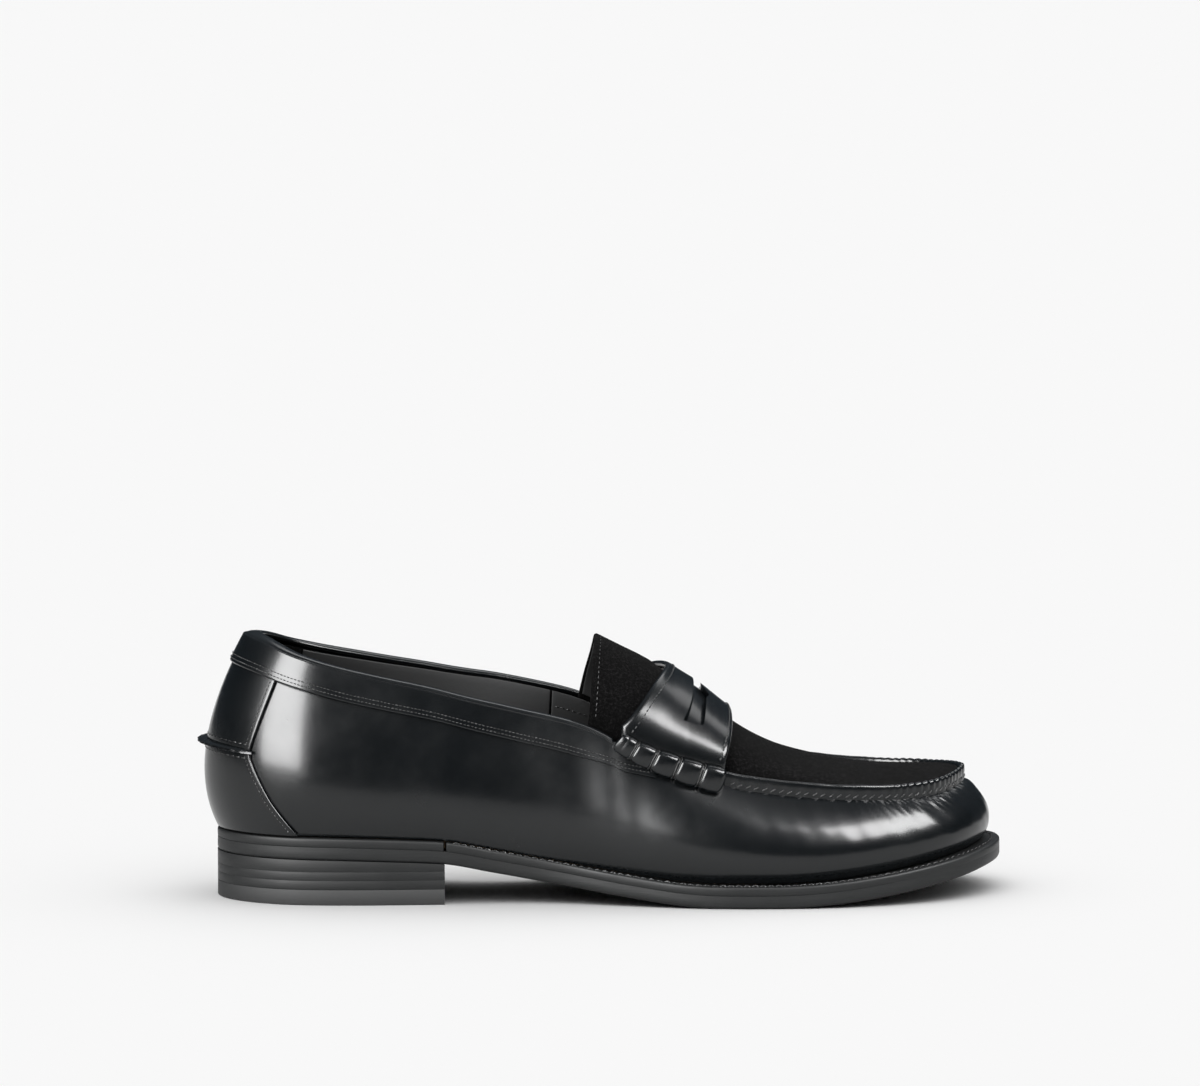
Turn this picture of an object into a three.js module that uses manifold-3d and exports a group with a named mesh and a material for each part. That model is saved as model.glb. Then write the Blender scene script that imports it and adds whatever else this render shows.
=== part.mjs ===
// A right penny loafer, built up as a shoemaker builds it: a stacked heel, a welted leather
// sole, a moccasin-sewn upper with a raised plug, a saddle strap with its slot, two beefrolls,
// a sprung tongue, linings and stiffeners.
// Millimetres. The shoe points along +X, its lateral (outer) side is -Y and the floor is z = 0.

import * as THREE from 'three';
import { mergeVertices } from 'three/addons/utils/BufferGeometryUtils.js';
import Module from 'manifold-3d';

const wasm = await Module();
wasm.setup();

// ---- Driving dimensions ----
const soleLength = 297;          // outsole, back of the heel to the tip of the toe
const footWidth = 98.5;          // upper across the ball, at the welt
const backHeight = 74.3;         // collar above the heel seat, at the back
const heelHeight = 17.4;         // underside of the outsole above the floor, at the back
const toeSpring = 12.3;          // lift of the outsole at the tip of the toe
const heelLength = 84.5;         // back of the heel to its breast
const outsoleThickness = 5;
const weltThickness = 3;
const toeExtension = 6.5;        // how far the sole edge stands out past the upper at the toe
const waistExtension = 1.6;      // the same at the waist
const heelExtension = 2;         // the same round the heel
const topPieceThickness = 6;     // rubber piece under the heel
const liftCount = 3;             // leather lifts between the top piece and the outsole
const liftThickness = 3.3;       // each full lift; the last one fills up to the outsole
const upperThickness = 1.4;      // vamp leather
const stiffenerThickness = 0.8;  // heel counter and toe puff
const liningThickness = 1;
const panelThickness = 1.2;      // back panels and collar band
const insoleThickness = 2.5;
const sockThickness = 1;
const heelPadThickness = 2.3;
const heelPadInset = 3;          // heel pad inside the lining
const bandWidth = 12;            // collar band, measured down from the topline
const beadRadius = 1.1;          // rolled binding on the topline
const ridgeHeight = 4.5;         // raised seam round the plug
const ridgeThickness = 2.2;
const rollRadius = 3.7;          // beefroll
const plugThickness = 1.6;       // plug and tongue leather
const strapThickness = 2;
const shankWidth = 14;
const shankThickness = 1;
const shankLength = 108;
const shankTaper = 0.3;          // share of its width that it loses towards the ball
const ribWidth = 2;              // insole rib that the welt is sewn to
const nailRadius = 1.1;
const nailStations = [-2.6, -1.2, 0, 1.2, 2.6]; // places round the heel, counted from its back
const nailInset = 11;            // heel nails inside the heel's edge
const seam = 0.3;                // gap left between pieces that lie against each other

// ---- The last: stations from the tip of the toe (row 0) to the back of the heel ----
// foot: where the wall meets the welt, [x, lateral y, medial y]
// top: where the wall ends, [x, lateral y, medial y]
// rise: height of the top above the welt, [lateral, medial]
// full: how far the wall swells outward, [low down, high up]
const drawnLength = 297;
const drawnWidth = 98.5;
const drawnHeight = 74.3;
const rows = [
  { foot: [290.5, 5, 5], top: [283, 4, 4], rise: [22.9, 22.9], full: [7, 8] },
  { foot: [287, -10, 21], top: [274, -17, 23], rise: [21.7, 22.7], full: [8, 8] },
  { foot: [275, -26, 35], top: [261, -28, 33], rise: [23.1, 24.4], full: [9, 8] },
  { foot: [255, -38, 45], top: [245, -34, 38], rise: [26.7, 28.1], full: [10, 8] },
  { foot: [230, -45, 50.5], top: [222, -36.5, 40], rise: [31.1, 33.4], full: [11, 8] },
  { foot: [205, -46.5, 52], top: [194, -37, 39.5], rise: [36, 39.2], full: [11, 8] },
  { foot: [180, -44.5, 48], top: [172, -37, 38.5], rise: [41.6, 46], full: [9, 6] },
  { foot: [158, -39.5, 39], top: [154, -36.2, 36.5], rise: [46.6, 51.5], full: [7, 2.5] },
  { foot: [148, -37, 35], top: [145, -34, 34.5], rise: [51.6, 56.8], full: [7, 2] },
  { foot: [130, -33, 29], top: [132, -32, 33], rise: [54, 59], full: [7, 1] },
  { foot: [108, -31, 26], top: [108, -29.5, 31.5], rise: [55.6, 60.5], full: [7, 0.8] },
  { foot: [85, -32, 29], top: [80, -28, 29.5], rise: [58, 61], full: [8, 2] },
  { foot: [50, -32, 32], top: [50, -26, 26.5], rise: [62.9, 64.9], full: [10, 3] },
  { foot: [25, -28, 28], top: [31, -22, 22], rise: [67.9, 68.7], full: [11, 5] },
  { foot: [8, -16, 16], top: [19, -12, 12], rise: [72.5, 72.7], full: [13, 9] },
  { foot: [2, 0, 0], top: [13.6, 0, 0], rise: [74.3, 74.3], full: [15.5, 9.6] },
];
const heelStation = rows.length - 1;
const stationCount = 2 * heelStation;
const gradeX = soleLength / drawnLength;
const gradeY = footWidth / drawnWidth;
const gradeZ = backHeight / drawnHeight;

// Underside of the outsole as a share of the heel height, from the back to the ball.
const pitch = [[0, 1], [40, 0.975], [75, 0.91], [84.5, 0.872], [103, 0.67], [128, 0.41],
  [153, 0.184], [172, 0.045], [184, 0]];
const treadEnd = 208;            // the sole lies flat on the floor from x = 184 to here
const springPower = 1.7;
// Middle of the tongue and the plug above the welt.
const crownHeights = [[138, 86], [142.5, 84.7], [162.3, 78.1], [170, 73.2], [180, 67.4], [190, 59.6],
  [197, 54.4], [206, 49.3], [215, 45.4], [238, 38.1], [261, 32.2], [275, 28.5]];

// ---- Small mathematics ----
const lerp = (a, b, t) => a + (b - a) * t;
const clamp = (value, low, high) => Math.min(high, Math.max(low, value));
const smooth = (t) => t * t * (3 - 2 * t);

// A smooth curve through [x, y] points that never overshoots them.
function through(points) {
  const count = points.length;
  const slope = points.slice(1).map(([x, y], i) => (y - points[i][1]) / (x - points[i][0]));
  const tangent = points.map((point, i) => {
    if (i === 0) return slope[0];
    if (i === count - 1) return slope[count - 2];
    if (slope[i - 1] * slope[i] <= 0) return 0;
    return 2 * slope[i - 1] * slope[i] / (slope[i - 1] + slope[i]);
  });
  return (x) => {
    if (x <= points[0][0]) return points[0][1];
    if (x >= points[count - 1][0]) return points[count - 1][1];
    const i = points.findIndex(([px], k) => k > 0 && x <= px) - 1;
    const width = points[i + 1][0] - points[i][0];
    const t = (x - points[i][0]) / width;
    const a = points[i][1];
    const b = points[i + 1][1];
    const curve = smooth(t);
    return lerp(a, b, curve) + width * t * (1 - t) * ((1 - t) * tangent[i] - t * tangent[i + 1]);
  };
}

// A closed smooth curve through one value per station: s = 0 is the toe, s > 0 the lateral
// side, s < 0 the medial side, and both sides meet at the heel.
function column(name, place, grade, medialPlace = place) {
  const value = (index) => {
    const k = ((index % stationCount) + stationCount) % stationCount;
    return grade * (k <= heelStation ? rows[k][name][place] : rows[stationCount - k][name][medialPlace]);
  };
  return (s) => {
    const i = Math.floor(s);
    const t = s - i;
    const [a, b, c, d] = [value(i - 1), value(i), value(i + 1), value(i + 2)];
    return b + 0.5 * t * (c - a + t * (2 * a - 5 * b + 4 * c - d + t * (3 * (b - c) + d - a)));
  };
}

const footX = column('foot', 0, gradeX);
const footY = column('foot', 1, gradeY, 2);
const topX = column('top', 0, gradeX);
const topY = column('top', 1, gradeY, 2);
const rise = column('rise', 0, gradeZ, 1);
const fullLow = column('full', 0, gradeY);
const fullHigh = column('full', 1, gradeY);

// The station on the lateral side where a column reaches the value x.
function stationWhere(columnOf, x) {
  let low = 0;
  let high = heelStation;
  for (let i = 0; i < 40; i += 1) {
    const middle = (low + high) / 2;
    if (columnOf(middle) > x) low = middle;
    else high = middle;
  }
  return low;
}

// ---- Heights of the sole ----
const pitchAt = through(pitch);
const crownAt = through(crownHeights);

function underSole(x) {
  const drawnX = x / gradeX;
  if (drawnX <= treadEnd) return heelHeight * pitchAt(drawnX);
  return toeSpring * ((drawnX - treadEnd) / (drawnLength - treadEnd)) ** springPower;
}

const soleThickness = outsoleThickness + seam + weltThickness;
const weltTop = (x) => underSole(x) + soleThickness;
const crownZ = (x) => weltTop(x) + gradeZ * crownAt(x / gradeX);

const extensionAt = through([[0, heelExtension], [85, waistExtension], [118, waistExtension],
  [150, 0.6 * toeExtension], [185, 0.85 * toeExtension], [drawnLength, toeExtension]]);

// ---- Places on the last ----
function outwardAt(s) {
  const step = 0.05;
  const dx = footX(s + step) - footX(s - step);
  const dy = footY(s + step) - footY(s - step);
  return new THREE.Vector3(-dy, dx, 0).normalize();
}

// A point of the plan of the sole: the foot of the wall moved outward by distance.
function planPoint(s, distance) {
  const outward = outwardAt(s);
  return new THREE.Vector3(footX(s) + outward.x * distance, footY(s) + outward.y * distance, 0);
}

const soleEdge = (s) => planPoint(s, extensionAt(footX(s) / gradeX));
const topEdge = (s) => new THREE.Vector3(topX(s), topY(s), weltTop(footX(s)) + rise(s));

// The outer face of the wall at station s and share v of its height.
const lowShare = 0.3;
const highShare = 0.68;
function wall(s, v) {
  const foot = new THREE.Vector3(footX(s), footY(s), weltTop(footX(s)) + seam);
  const top = topEdge(s);
  const outward = outwardAt(s);
  const low = foot.clone().lerp(top, lowShare).addScaledVector(outward, fullLow(s));
  const high = foot.clone().lerp(top, highShare).addScaledVector(outward, fullHigh(s));
  return new THREE.CubicBezierCurve3(foot, low, high, top).getPoint(v);
}

// A point moved off a surface along its normal.
function offset(surface, u, v, distance) {
  const step = 0.01;
  const du = surface(u + step, v).sub(surface(u - step, v));
  const dv = surface(u, v + step).sub(surface(u, v - step));
  const normal = dv.cross(du).normalize();
  return surface(u, v).addScaledVector(normal, distance);
}

// The share of the wall's height that lies a given distance below its top edge.
function shareBelowTop(s, distance) {
  const length = wall(s, 0).distanceTo(topEdge(s));
  return 1 - distance / (3 * (1 - highShare) * length);
}

// ---- Solids ----
function solid(positions, index) {
  const geometry = new THREE.BufferGeometry();
  geometry.setAttribute('position', new THREE.Float32BufferAttribute(positions, 3));
  geometry.setIndex(index);
  return geometry;
}

// Turns a shape right side out, by the sign of its volume.
function faceOutward(positions, index) {
  const at = (k) => new THREE.Vector3().fromArray(positions, 3 * k);
  let volume = 0;
  for (let k = 0; k < index.length; k += 3) {
    volume += at(index[k]).dot(at(index[k + 1]).cross(at(index[k + 2])));
  }
  return volume > 0 ? index : index.slice().reverse();
}

// The ends of a stretch with the multiples of step between them. Layers that lie on each other
// share these lines, so their facets stay parallel.
function lines(from, to, step) {
  const margin = 0.2 * step;
  const inside = [];
  for (let k = Math.ceil((from + margin) / step); k * step < to - margin; k += 1) inside.push(k * step);
  return [from, ...inside, to];
}

// A closed slab: two grids of points, side 0 and side 1, joined round their rim.
function slab(us, vs, pointAt) {
  const nu = us.length - 1;
  const nv = vs.length - 1;
  const positions = [];
  const index = [];
  const id = (side, i, j) => (side * (nu + 1) + i) * (nv + 1) + j;
  const quad = (a, b, c, d) => index.push(a, b, c, a, c, d);
  for (let side = 0; side < 2; side += 1) {
    us.forEach((u) => vs.forEach((v) => positions.push(...pointAt(u, v, side).toArray())));
  }
  for (let i = 0; i < nu; i += 1) {
    for (let j = 0; j < nv; j += 1) {
      quad(id(1, i, j), id(1, i + 1, j), id(1, i + 1, j + 1), id(1, i, j + 1));
      quad(id(0, i, j), id(0, i, j + 1), id(0, i + 1, j + 1), id(0, i + 1, j));
    }
    quad(id(0, i, 0), id(0, i + 1, 0), id(1, i + 1, 0), id(1, i, 0));
    quad(id(0, i + 1, nv), id(0, i, nv), id(1, i, nv), id(1, i + 1, nv));
  }
  for (let j = 0; j < nv; j += 1) {
    quad(id(0, 0, j + 1), id(0, 0, j), id(1, 0, j), id(1, 0, j + 1));
    quad(id(0, nu, j), id(0, nu, j + 1), id(1, nu, j + 1), id(1, nu, j));
  }
  return solid(positions, faceOutward(positions, index));
}

// A closed bar: a convex section carried along a path, with both ends capped.
function bar(places, sectionAt) {
  const positions = [];
  const index = [];
  const count = places.length - 1;
  const sides = sectionAt(places[0]).length;
  places.forEach((place) => sectionAt(place).forEach((point) => positions.push(...point.toArray())));
  for (let i = 0; i < count; i += 1) {
    for (let j = 0; j < sides; j += 1) {
      const a = i * sides + j;
      const b = i * sides + (j + 1) % sides;
      index.push(a, b, b + sides, a, b + sides, a + sides);
    }
  }
  for (let j = 1; j < sides - 1; j += 1) {
    index.push(0, j + 1, j);
    index.push(count * sides, count * sides + j, count * sides + j + 1);
  }
  return solid(positions, faceOutward(positions, index));
}

// A patch between four edges that share their corners: u runs along left and right.
function between(left, right, front, back) {
  const corners = [left(0), right(0), left(1), right(1)];
  return (u, v) => left(u).multiplyScalar(1 - v)
    .addScaledVector(right(u), v)
    .addScaledVector(front(v), 1 - u)
    .addScaledVector(back(v), u)
    .addScaledVector(corners[0], -(1 - u) * (1 - v))
    .addScaledVector(corners[1], -(1 - u) * v)
    .addScaledVector(corners[2], -u * (1 - v))
    .addScaledVector(corners[3], -u * v);
}

// The plan inside a closed outline of the last, split at four corners into a patch.
const toeCorner = 1.5;
const heelCorner = heelStation - 1.5;
const stationStep = 0.5;
const shareStep = 0.15;
function wholePlan(outline) {
  const side = (u) => lerp(toeCorner, heelCorner, u);
  return between(
    (u) => outline(side(u)),
    (u) => outline(-side(u)),
    (v) => outline(toeCorner * (1 - 2 * v)),
    (v) => outline(lerp(heelCorner, stationCount - heelCorner, v)),
  );
}

// The plan of the heel behind a straight breast at x.
function heelPlan(outline, x) {
  const breast = stationWhere((s) => outline(s).x, x);
  const side = (u) => lerp(breast, heelCorner, u);
  return between(
    (u) => outline(side(u)),
    (u) => outline(-side(u)),
    (v) => outline(breast).lerp(outline(-breast), v),
    (v) => outline(lerp(heelCorner, stationCount - heelCorner, v)),
  );
}

const wholeLines = [lines(0, 1, stationStep / (heelCorner - toeCorner)), lines(0, 1, stationStep / 3)];
const heelLines = [lines(0, 1, 1 / 5), lines(0, 1, 1 / 6)];

// A layer of the sole, between two heights that depend on x.
function layer(plan, [us, vs], bottom, top) {
  return slab(us, vs, (u, v, side) => {
    const point = plan(u, v);
    point.z = side ? top(point.x) : bottom(point.x);
    return point;
  });
}

// A strip of the wall between two stations, two shares of its height and two offsets.
function strip(from, to, low, high, inner, outer) {
  const value = (limit, s) => (typeof limit === 'function' ? limit(s) : limit);
  const places = lines(from, to, stationStep);
  const floor = Math.max(...places.map((s) => value(low, s)));
  const ceiling = Math.min(...places.map((s) => value(high, s)));
  const shares = lines(floor, ceiling, shareStep);
  return slab(places, shares, (s, v, side) => {
    let share = v;
    if (v === shares[0]) share = value(low, s);
    if (v === shares[shares.length - 1]) share = value(high, s);
    return offset(wall, s, share, value(side ? outer : inner, s));
  });
}

function toManifold(geometry) {
  const bare = geometry.clone();
  bare.deleteAttribute('normal');
  bare.deleteAttribute('uv');
  const merged = mergeVertices(bare);
  return new wasm.Manifold(new wasm.Mesh({
    numProp: 3,
    vertProperties: new Float32Array(merged.attributes.position.array),
    triVerts: new Uint32Array(merged.index.array),
  }));
}

// A shape with other shapes cut out of it.
function cut(geometry, tools) {
  const body = tools.reduce((rest, tool) => rest.subtract(toManifold(tool)), toManifold(geometry));
  const mesh = body.getMesh();
  const positions = [];
  for (let k = 0; k < mesh.numVert; k += 1) {
    positions.push(...mesh.vertProperties.slice(k * mesh.numProp, k * mesh.numProp + 3));
  }
  return solid(positions, Array.from(mesh.triVerts));
}

function uprightCylinder(radius, bottom, top, x, y) {
  const geometry = new THREE.CylinderGeometry(radius, radius, top - bottom, 8);
  geometry.rotateX(Math.PI / 2);
  return geometry.translate(x, y, (bottom + top) / 2);
}

// ---- Materials ----
const material = (color, roughness, metalness = 0) => new THREE.MeshStandardMaterial({
  color, roughness, metalness,
});
const polished = material(0x0e1418, 0.25);
const suede = material(0x17171a, 0.95);
const liningLeather = material(0x1b1d20, 0.6);
const edgeLeather = material(0x2d2f2f, 0.7);
const rubber = material(0x232526, 0.85);
const board = material(0x8c7355, 0.9);
const corkPaste = material(0x5e4630, 0.95);
const steel = material(0x9a9da0, 0.4, 1);
const brass = material(0xb08d4a, 0.4, 1);

const shoe = new THREE.Group();
function add(name, geometry, finish) {
  geometry.computeVertexNormals();
  const mesh = new THREE.Mesh(geometry, finish);
  mesh.name = name;
  shoe.add(mesh);
}

// ---- Heel ----
function heelNails() {
  const places = nailStations.map((step) => heelStation + step);
  return places.map((s) => soleEdge(s).addScaledVector(outwardAt(s), -nailInset));
}

// What the nails' holes take out of the lifts and the outsole.
function nailHoles(bottom, depth) {
  return heelNails().map(({ x, y }) => uprightCylinder(nailRadius + seam, bottom,
    underSole(x) + depth, x, y));
}

const nailDepth = 0.6 * outsoleThickness;

function buildHeel() {
  const plan = heelPlan(soleEdge, heelLength);
  add('heel_top_piece', layer(plan, heelLines, () => 0, () => topPieceThickness), rubber);
  for (let k = 0; k < liftCount; k += 1) {
    const bottom = topPieceThickness + k * liftThickness;
    const top = k < liftCount - 1 ? () => bottom + liftThickness : (x) => underSole(x) - 2 * seam;
    const lift = layer(plan, heelLines, () => bottom, top);
    add(`heel_lift_${k + 1}`, cut(lift, nailHoles(0, outsoleThickness)), edgeLeather);
  }
  heelNails().forEach(({ x, y }, k) => {
    const nail = uprightCylinder(nailRadius, topPieceThickness + seam, underSole(x) + nailDepth, x, y);
    add(`heel_nail_${k + 1}`, nail, brass);
  });
}

// ---- Sole ----
const insideWelt = (distance) => (s) => planPoint(s, -distance);
const weltInset = 3;             // inner edge of the welt inside the foot of the wall
const weltBottom = (x) => underSole(x) + outsoleThickness + seam;
const insoleBottom = (x) => weltTop(x) + seam;
const insoleTop = (x) => insoleBottom(x) + insoleThickness;
const sockTop = (x) => insoleTop(x) + seam + sockThickness;

function edgeStrip(from, to, outer, inner) {
  return bar(lines(from, to, stationStep), (s) => {
    const out = outer(s);
    const into = inner(s);
    const corner = (point, height) => new THREE.Vector3(point.x, point.y, height(point.x));
    return [corner(out, weltBottom), corner(out, weltTop), corner(into, weltTop), corner(into, weltBottom)];
  });
}

function buildSole() {
  const outsole = layer(wholePlan(soleEdge), wholeLines, underSole, (x) => underSole(x) + outsoleThickness);
  add('outsole', cut(outsole, nailHoles(0, nailDepth + seam)), edgeLeather);
  const breast = stationWhere(footX, heelLength);
  const butt = 0.02;             // half the butt joint between welt and heel rand, in stations
  add('welt', edgeStrip(butt - breast, breast - butt, soleEdge, insideWelt(weltInset)), edgeLeather);
  add('heel_rand', edgeStrip(breast + butt, stationCount - breast - butt, soleEdge,
    insideWelt(weltInset)), edgeLeather);
  const ribOuter = weltInset + seam;
  const ribInner = ribOuter + ribWidth;
  add('insole_rib', edgeStrip(-breast, breast, insideWelt(ribOuter), insideWelt(ribInner)), board);
  const corkTop = (x) => weltTop(x) - shankThickness - seam;
  add('cork_filler', layer(wholePlan(insideWelt(ribInner + seam)), wholeLines, weltBottom, corkTop),
    corkPaste);
  const shankStart = 0.7 * heelLength;
  const shankPlan = (u, v) => new THREE.Vector3(shankStart + u * shankLength,
    shankWidth * (v - 0.5) * (1 - shankTaper * u), 0);
  add('shank', layer(shankPlan, [lines(0, 1, 1 / 14), [0, 1]], (x) => corkTop(x) + seam, weltTop), steel);
  add('insole', layer(wholePlan(insideWelt(liningInner + seam)), wholeLines, insoleBottom, insoleTop),
    board);
  const sockPlan = wholePlan(insideWelt(liningInner + 2 * seam));
  add('sock_lining', layer(sockPlan, wholeLines, (x) => insoleTop(x) + seam, sockTop), liningLeather);
  const padPlan = heelPlan(insideWelt(liningInner + heelPadInset), 0.9 * heelLength);
  add('heel_pad', layer(padPlan, heelLines, (x) => sockTop(x) + seam,
    (x) => sockTop(x) + seam + heelPadThickness), liningLeather);
}

// ---- Upper: layers inside and outside the vamp, as offsets from its outer face ----
const stiffenerOuter = -(upperThickness + seam);
const stiffenerInner = stiffenerOuter - stiffenerThickness;
const liningOuter = stiffenerInner - seam;
const liningInner = -(liningOuter - liningThickness);
const backSeam = 13.35;          // station of the front seam of the back panels
const bandEnd = 6.45;            // station where the collar band ends under the beefroll
const rollStart = 7.5;           // station where the bound topline gives way to the roll
const beadStart = rollStart + 0.6;
const beadDrop = 2 * beadRadius + seam;
const beadWidth = 1.7 * beadRadius;
const panelFoot = 0.025;         // share of the wall's height that the panels leave bare
const panelOuter = seam + panelThickness;
const panelSplit = 3 * shareStep; // share of the wall's height where the two back panels meet
const ridgeReach = 0.02;

// How far back a station lies from the toe, on either side.
const setBack = (s) => (Math.abs(s) > heelStation ? stationCount - Math.abs(s) : Math.abs(s));

// The wall stops under the binding, and keeps its full height under the roll and at the plug.
function topOfWall(s, drop = 0) {
  const bound = smooth(clamp((setBack(s) - rollStart) / (beadStart - rollStart), 0, 1));
  return shareBelowTop(s, lerp(drop, beadDrop, bound));
}

function buildUpper() {
  const backGap = 0.03;
  add('vamp', strip(backGap - heelStation, heelStation - backGap, 0, topOfWall, -upperThickness, 0),
    polished);
  const panelEnd = stationCount - backSeam;
  const ridgeGap = 0.012;
  add('back_panel_lower', strip(backSeam, panelEnd, panelFoot, panelSplit - ridgeGap, seam, panelOuter),
    polished);
  add('back_panel_upper', strip(backSeam, panelEnd, panelSplit + ridgeGap, topOfWall, seam, panelOuter),
    polished);
  add('heel_seam_ridge', bar(lines(backSeam + 0.05, panelEnd - 0.05, stationStep / 2), (s) => {
    const at = (rise, d) => offset(wall, s, panelSplit + rise, panelOuter + seam + d);
    const crest = ridgeReach * 0.7;
    const proud = 1.3;
    return [at(-ridgeReach, 0), at(ridgeReach, 0), at(crest, proud), at(-crest, proud)];
  }), polished);
  const bandGap = 1.5 * seam;
  const bandInner = (s) => lerp(bandGap, panelOuter + bandGap,
    smooth(clamp((setBack(s) - backSeam + 1.5) / 1.1, 0, 1)));
  const underRoll = 1.4;
  add('collar_band', strip(bandEnd, stationCount - bandEnd, (s) => shareBelowTop(s, bandWidth),
    (s) => topOfWall(s, underRoll), bandInner, (s) => bandInner(s) + panelThickness), polished);
  add('topline_binding', bar(lines(beadStart, stationCount - beadStart, stationStep), (s) => {
    const outward = outwardAt(s);
    const centre = topEdge(s).addScaledVector(outward, -liningInner / 2);
    centre.z -= beadRadius;
    return ringSection(centre, outward, new THREE.Vector3(0, 0, 1), beadWidth, beadRadius, 6);
  }), polished);
}

function ringSection(centre, across, up, width, height, sides) {
  return Array.from({ length: sides }, (unused, k) => {
    const angle = 2 * Math.PI * (k + 0.5) / sides;
    return centre.clone().addScaledVector(across, width * Math.cos(angle))
      .addScaledVector(up, height * Math.sin(angle));
  });
}

function buildLinings() {
  const liningJoint = 9.2;       // station where vamp lining and quarter lining meet
  const gripStart = heelStation - 2.1;
  const gap = 0.03;
  const foot = 0.03;
  const top = (s) => topOfWall(s, 2);
  const lining = (from, to) => strip(from, to, foot, top, -liningInner, liningOuter);
  add('vamp_lining', lining(-liningJoint, liningJoint), liningLeather);
  add('quarter_lining_lateral', lining(liningJoint + gap, gripStart), liningLeather);
  add('quarter_lining_medial', lining(stationCount - gripStart, stationCount - liningJoint - gap),
    liningLeather);
  add('heel_grip', lining(gripStart + gap, stationCount - gripStart - gap), suede);
  add('heel_counter', strip(heelStation - 3, heelStation + 3, foot, 0.72,
    stiffenerInner, stiffenerOuter), board);
  add('toe_puff', strip(-2.5, 2.5, foot, 0.9, stiffenerInner, stiffenerOuter), board);
}

// ---- Plug, raised seam, tongue, strap and beefrolls ----
const ridgeEnd = 5;              // station where the raised seam runs in under the strap
const ridgeMiddle = -upperThickness / 2;
const plugInset = upperThickness / 2 + ridgeThickness / 2 + seam;

function buildRidge() {
  add('plug_seam_ridge', bar(lines(-ridgeEnd, ridgeEnd, stationStep / 2), (s) => {
    const outward = outwardAt(s);
    const at = (side, height) => {
      const point = topEdge(s).addScaledVector(outward, ridgeMiddle + side * ridgeThickness / 2);
      point.z += seam + height;
      return point;
    };
    return [at(1, 0), at(1, ridgeHeight * 0.85), at(0, ridgeHeight), at(-1, ridgeHeight * 0.85), at(-1, 0)];
  }), polished);
}

// Half an arch from the crown (w = 0) down to its foot (w = -1 lateral, w = 1 medial). The two
// middle points of its curve are given as shares of the way across and of the height.
const archShoulder = [0.44, 0.97];
const archHip = [0.95, 0.5];
function arch(lateral, medial, crown, w) {
  const foot = w < 0 ? lateral : medial;
  const at = (across, up) => new THREE.Vector3(lerp(crown.x, foot.x, across), lerp(crown.y, foot.y, across),
    lerp(foot.z, crown.z, up));
  const curve = new THREE.CubicBezierCurve3(at(0, 1), at(...archShoulder), at(...archHip), at(1, 0));
  return curve.getPoint(Math.abs(w));
}

// The saddle under the strap: x along the shoe, w from the lateral roll (-1) to the medial (1).
const saddleInset = 3;
const saddleLift = 2 * rollRadius + 2 * seam;
function saddle(x, w) {
  const s = stationWhere(topX, x);
  const foot = (station) => {
    const point = topEdge(station).addScaledVector(outwardAt(station), -saddleInset);
    point.x = x;
    point.z += saddleLift;
    return point;
  };
  const lateral = foot(s);
  const medial = foot(-s);
  const crown = new THREE.Vector3(x, (lateral.y + medial.y) / 2, crownZ(x));
  return arch(lateral, medial, crown, w);
}

const hingeX = 163.5 * gradeX;
const plugGap = 0.4;             // between the tongue's root and the plug
const rearStation = 6.15;        // station of the plug's rear corners
const plugToeCorner = 1.3;       // station of its front corners
const plugEdgeRise = 0.6;        // share of the raised seam's height at which the plug meets it
const plugFront = 1 / 6;         // share of the plug's length that domes up behind the toe
const archStart = 0.25;          // share of its length where the arches of the instep begin
const archBlend = 0.35;          // and the share over which they take over

function plugSurface() {
  const edge = (s) => {
    const besideRoll = rollRadius * smooth(clamp((Math.abs(s) - ridgeEnd) / 0.5, 0, 1));
    const point = topEdge(s).addScaledVector(outwardAt(s), -(plugInset + besideRoll));
    point.z += seam + plugEdgeRise * ridgeHeight;
    return point;
  };
  const side = (u) => lerp(plugToeCorner, rearStation, u);
  const middle = (u) => (edge(side(u)).y + edge(-side(u)).y) / 2;
  const rearCrown = hingeX + plugGap;
  const section = (u, x, v) => arch(edge(side(u)), edge(-side(u)),
    new THREE.Vector3(x, middle(u), crownZ(x)), 2 * v - 1);
  const patch = between((u) => edge(side(u)), (u) => edge(-side(u)),
    (v) => edge(plugToeCorner * (1 - 2 * v)), (v) => section(1, rearCrown, v));
  return (u, v) => {
    const point = patch(u, v);
    const centre = patch(u, 0.5);
    const share = 1 - (2 * v - 1) ** 2;
    point.z += share * (crownZ(centre.x) - centre.z) * smooth(clamp(u / plugFront, 0, 1));
    return point.lerp(section(u, centre.x, v), smooth(clamp((u - archStart) / archBlend, 0, 1)));
  };
}

// A sheet of leather on a surface, between two offsets; step sizes the facets along and across.
function skin(surface, inner, outer, steps, range) {
  return slab(lines(range[0], range[1], steps[0]), lines(range[2], range[3], steps[1]),
    (u, v, side) => offset(surface, u, v, side ? outer : inner));
}

function buildPlug() {
  const plug = plugSurface();
  const steps = [1 / 20, 1 / 8];
  const edge = 0.01;
  add('plug', skin(plug, -plugThickness, 0, steps, [edge, 1, edge, 1 - edge]), suede);
  const liningTop = -(plugThickness + seam);
  add('plug_lining', skin(plug, liningTop - liningThickness, liningTop, steps,
    [steps[0], 1 - steps[0], steps[1], 1 - steps[1]]), liningLeather);
}

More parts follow.
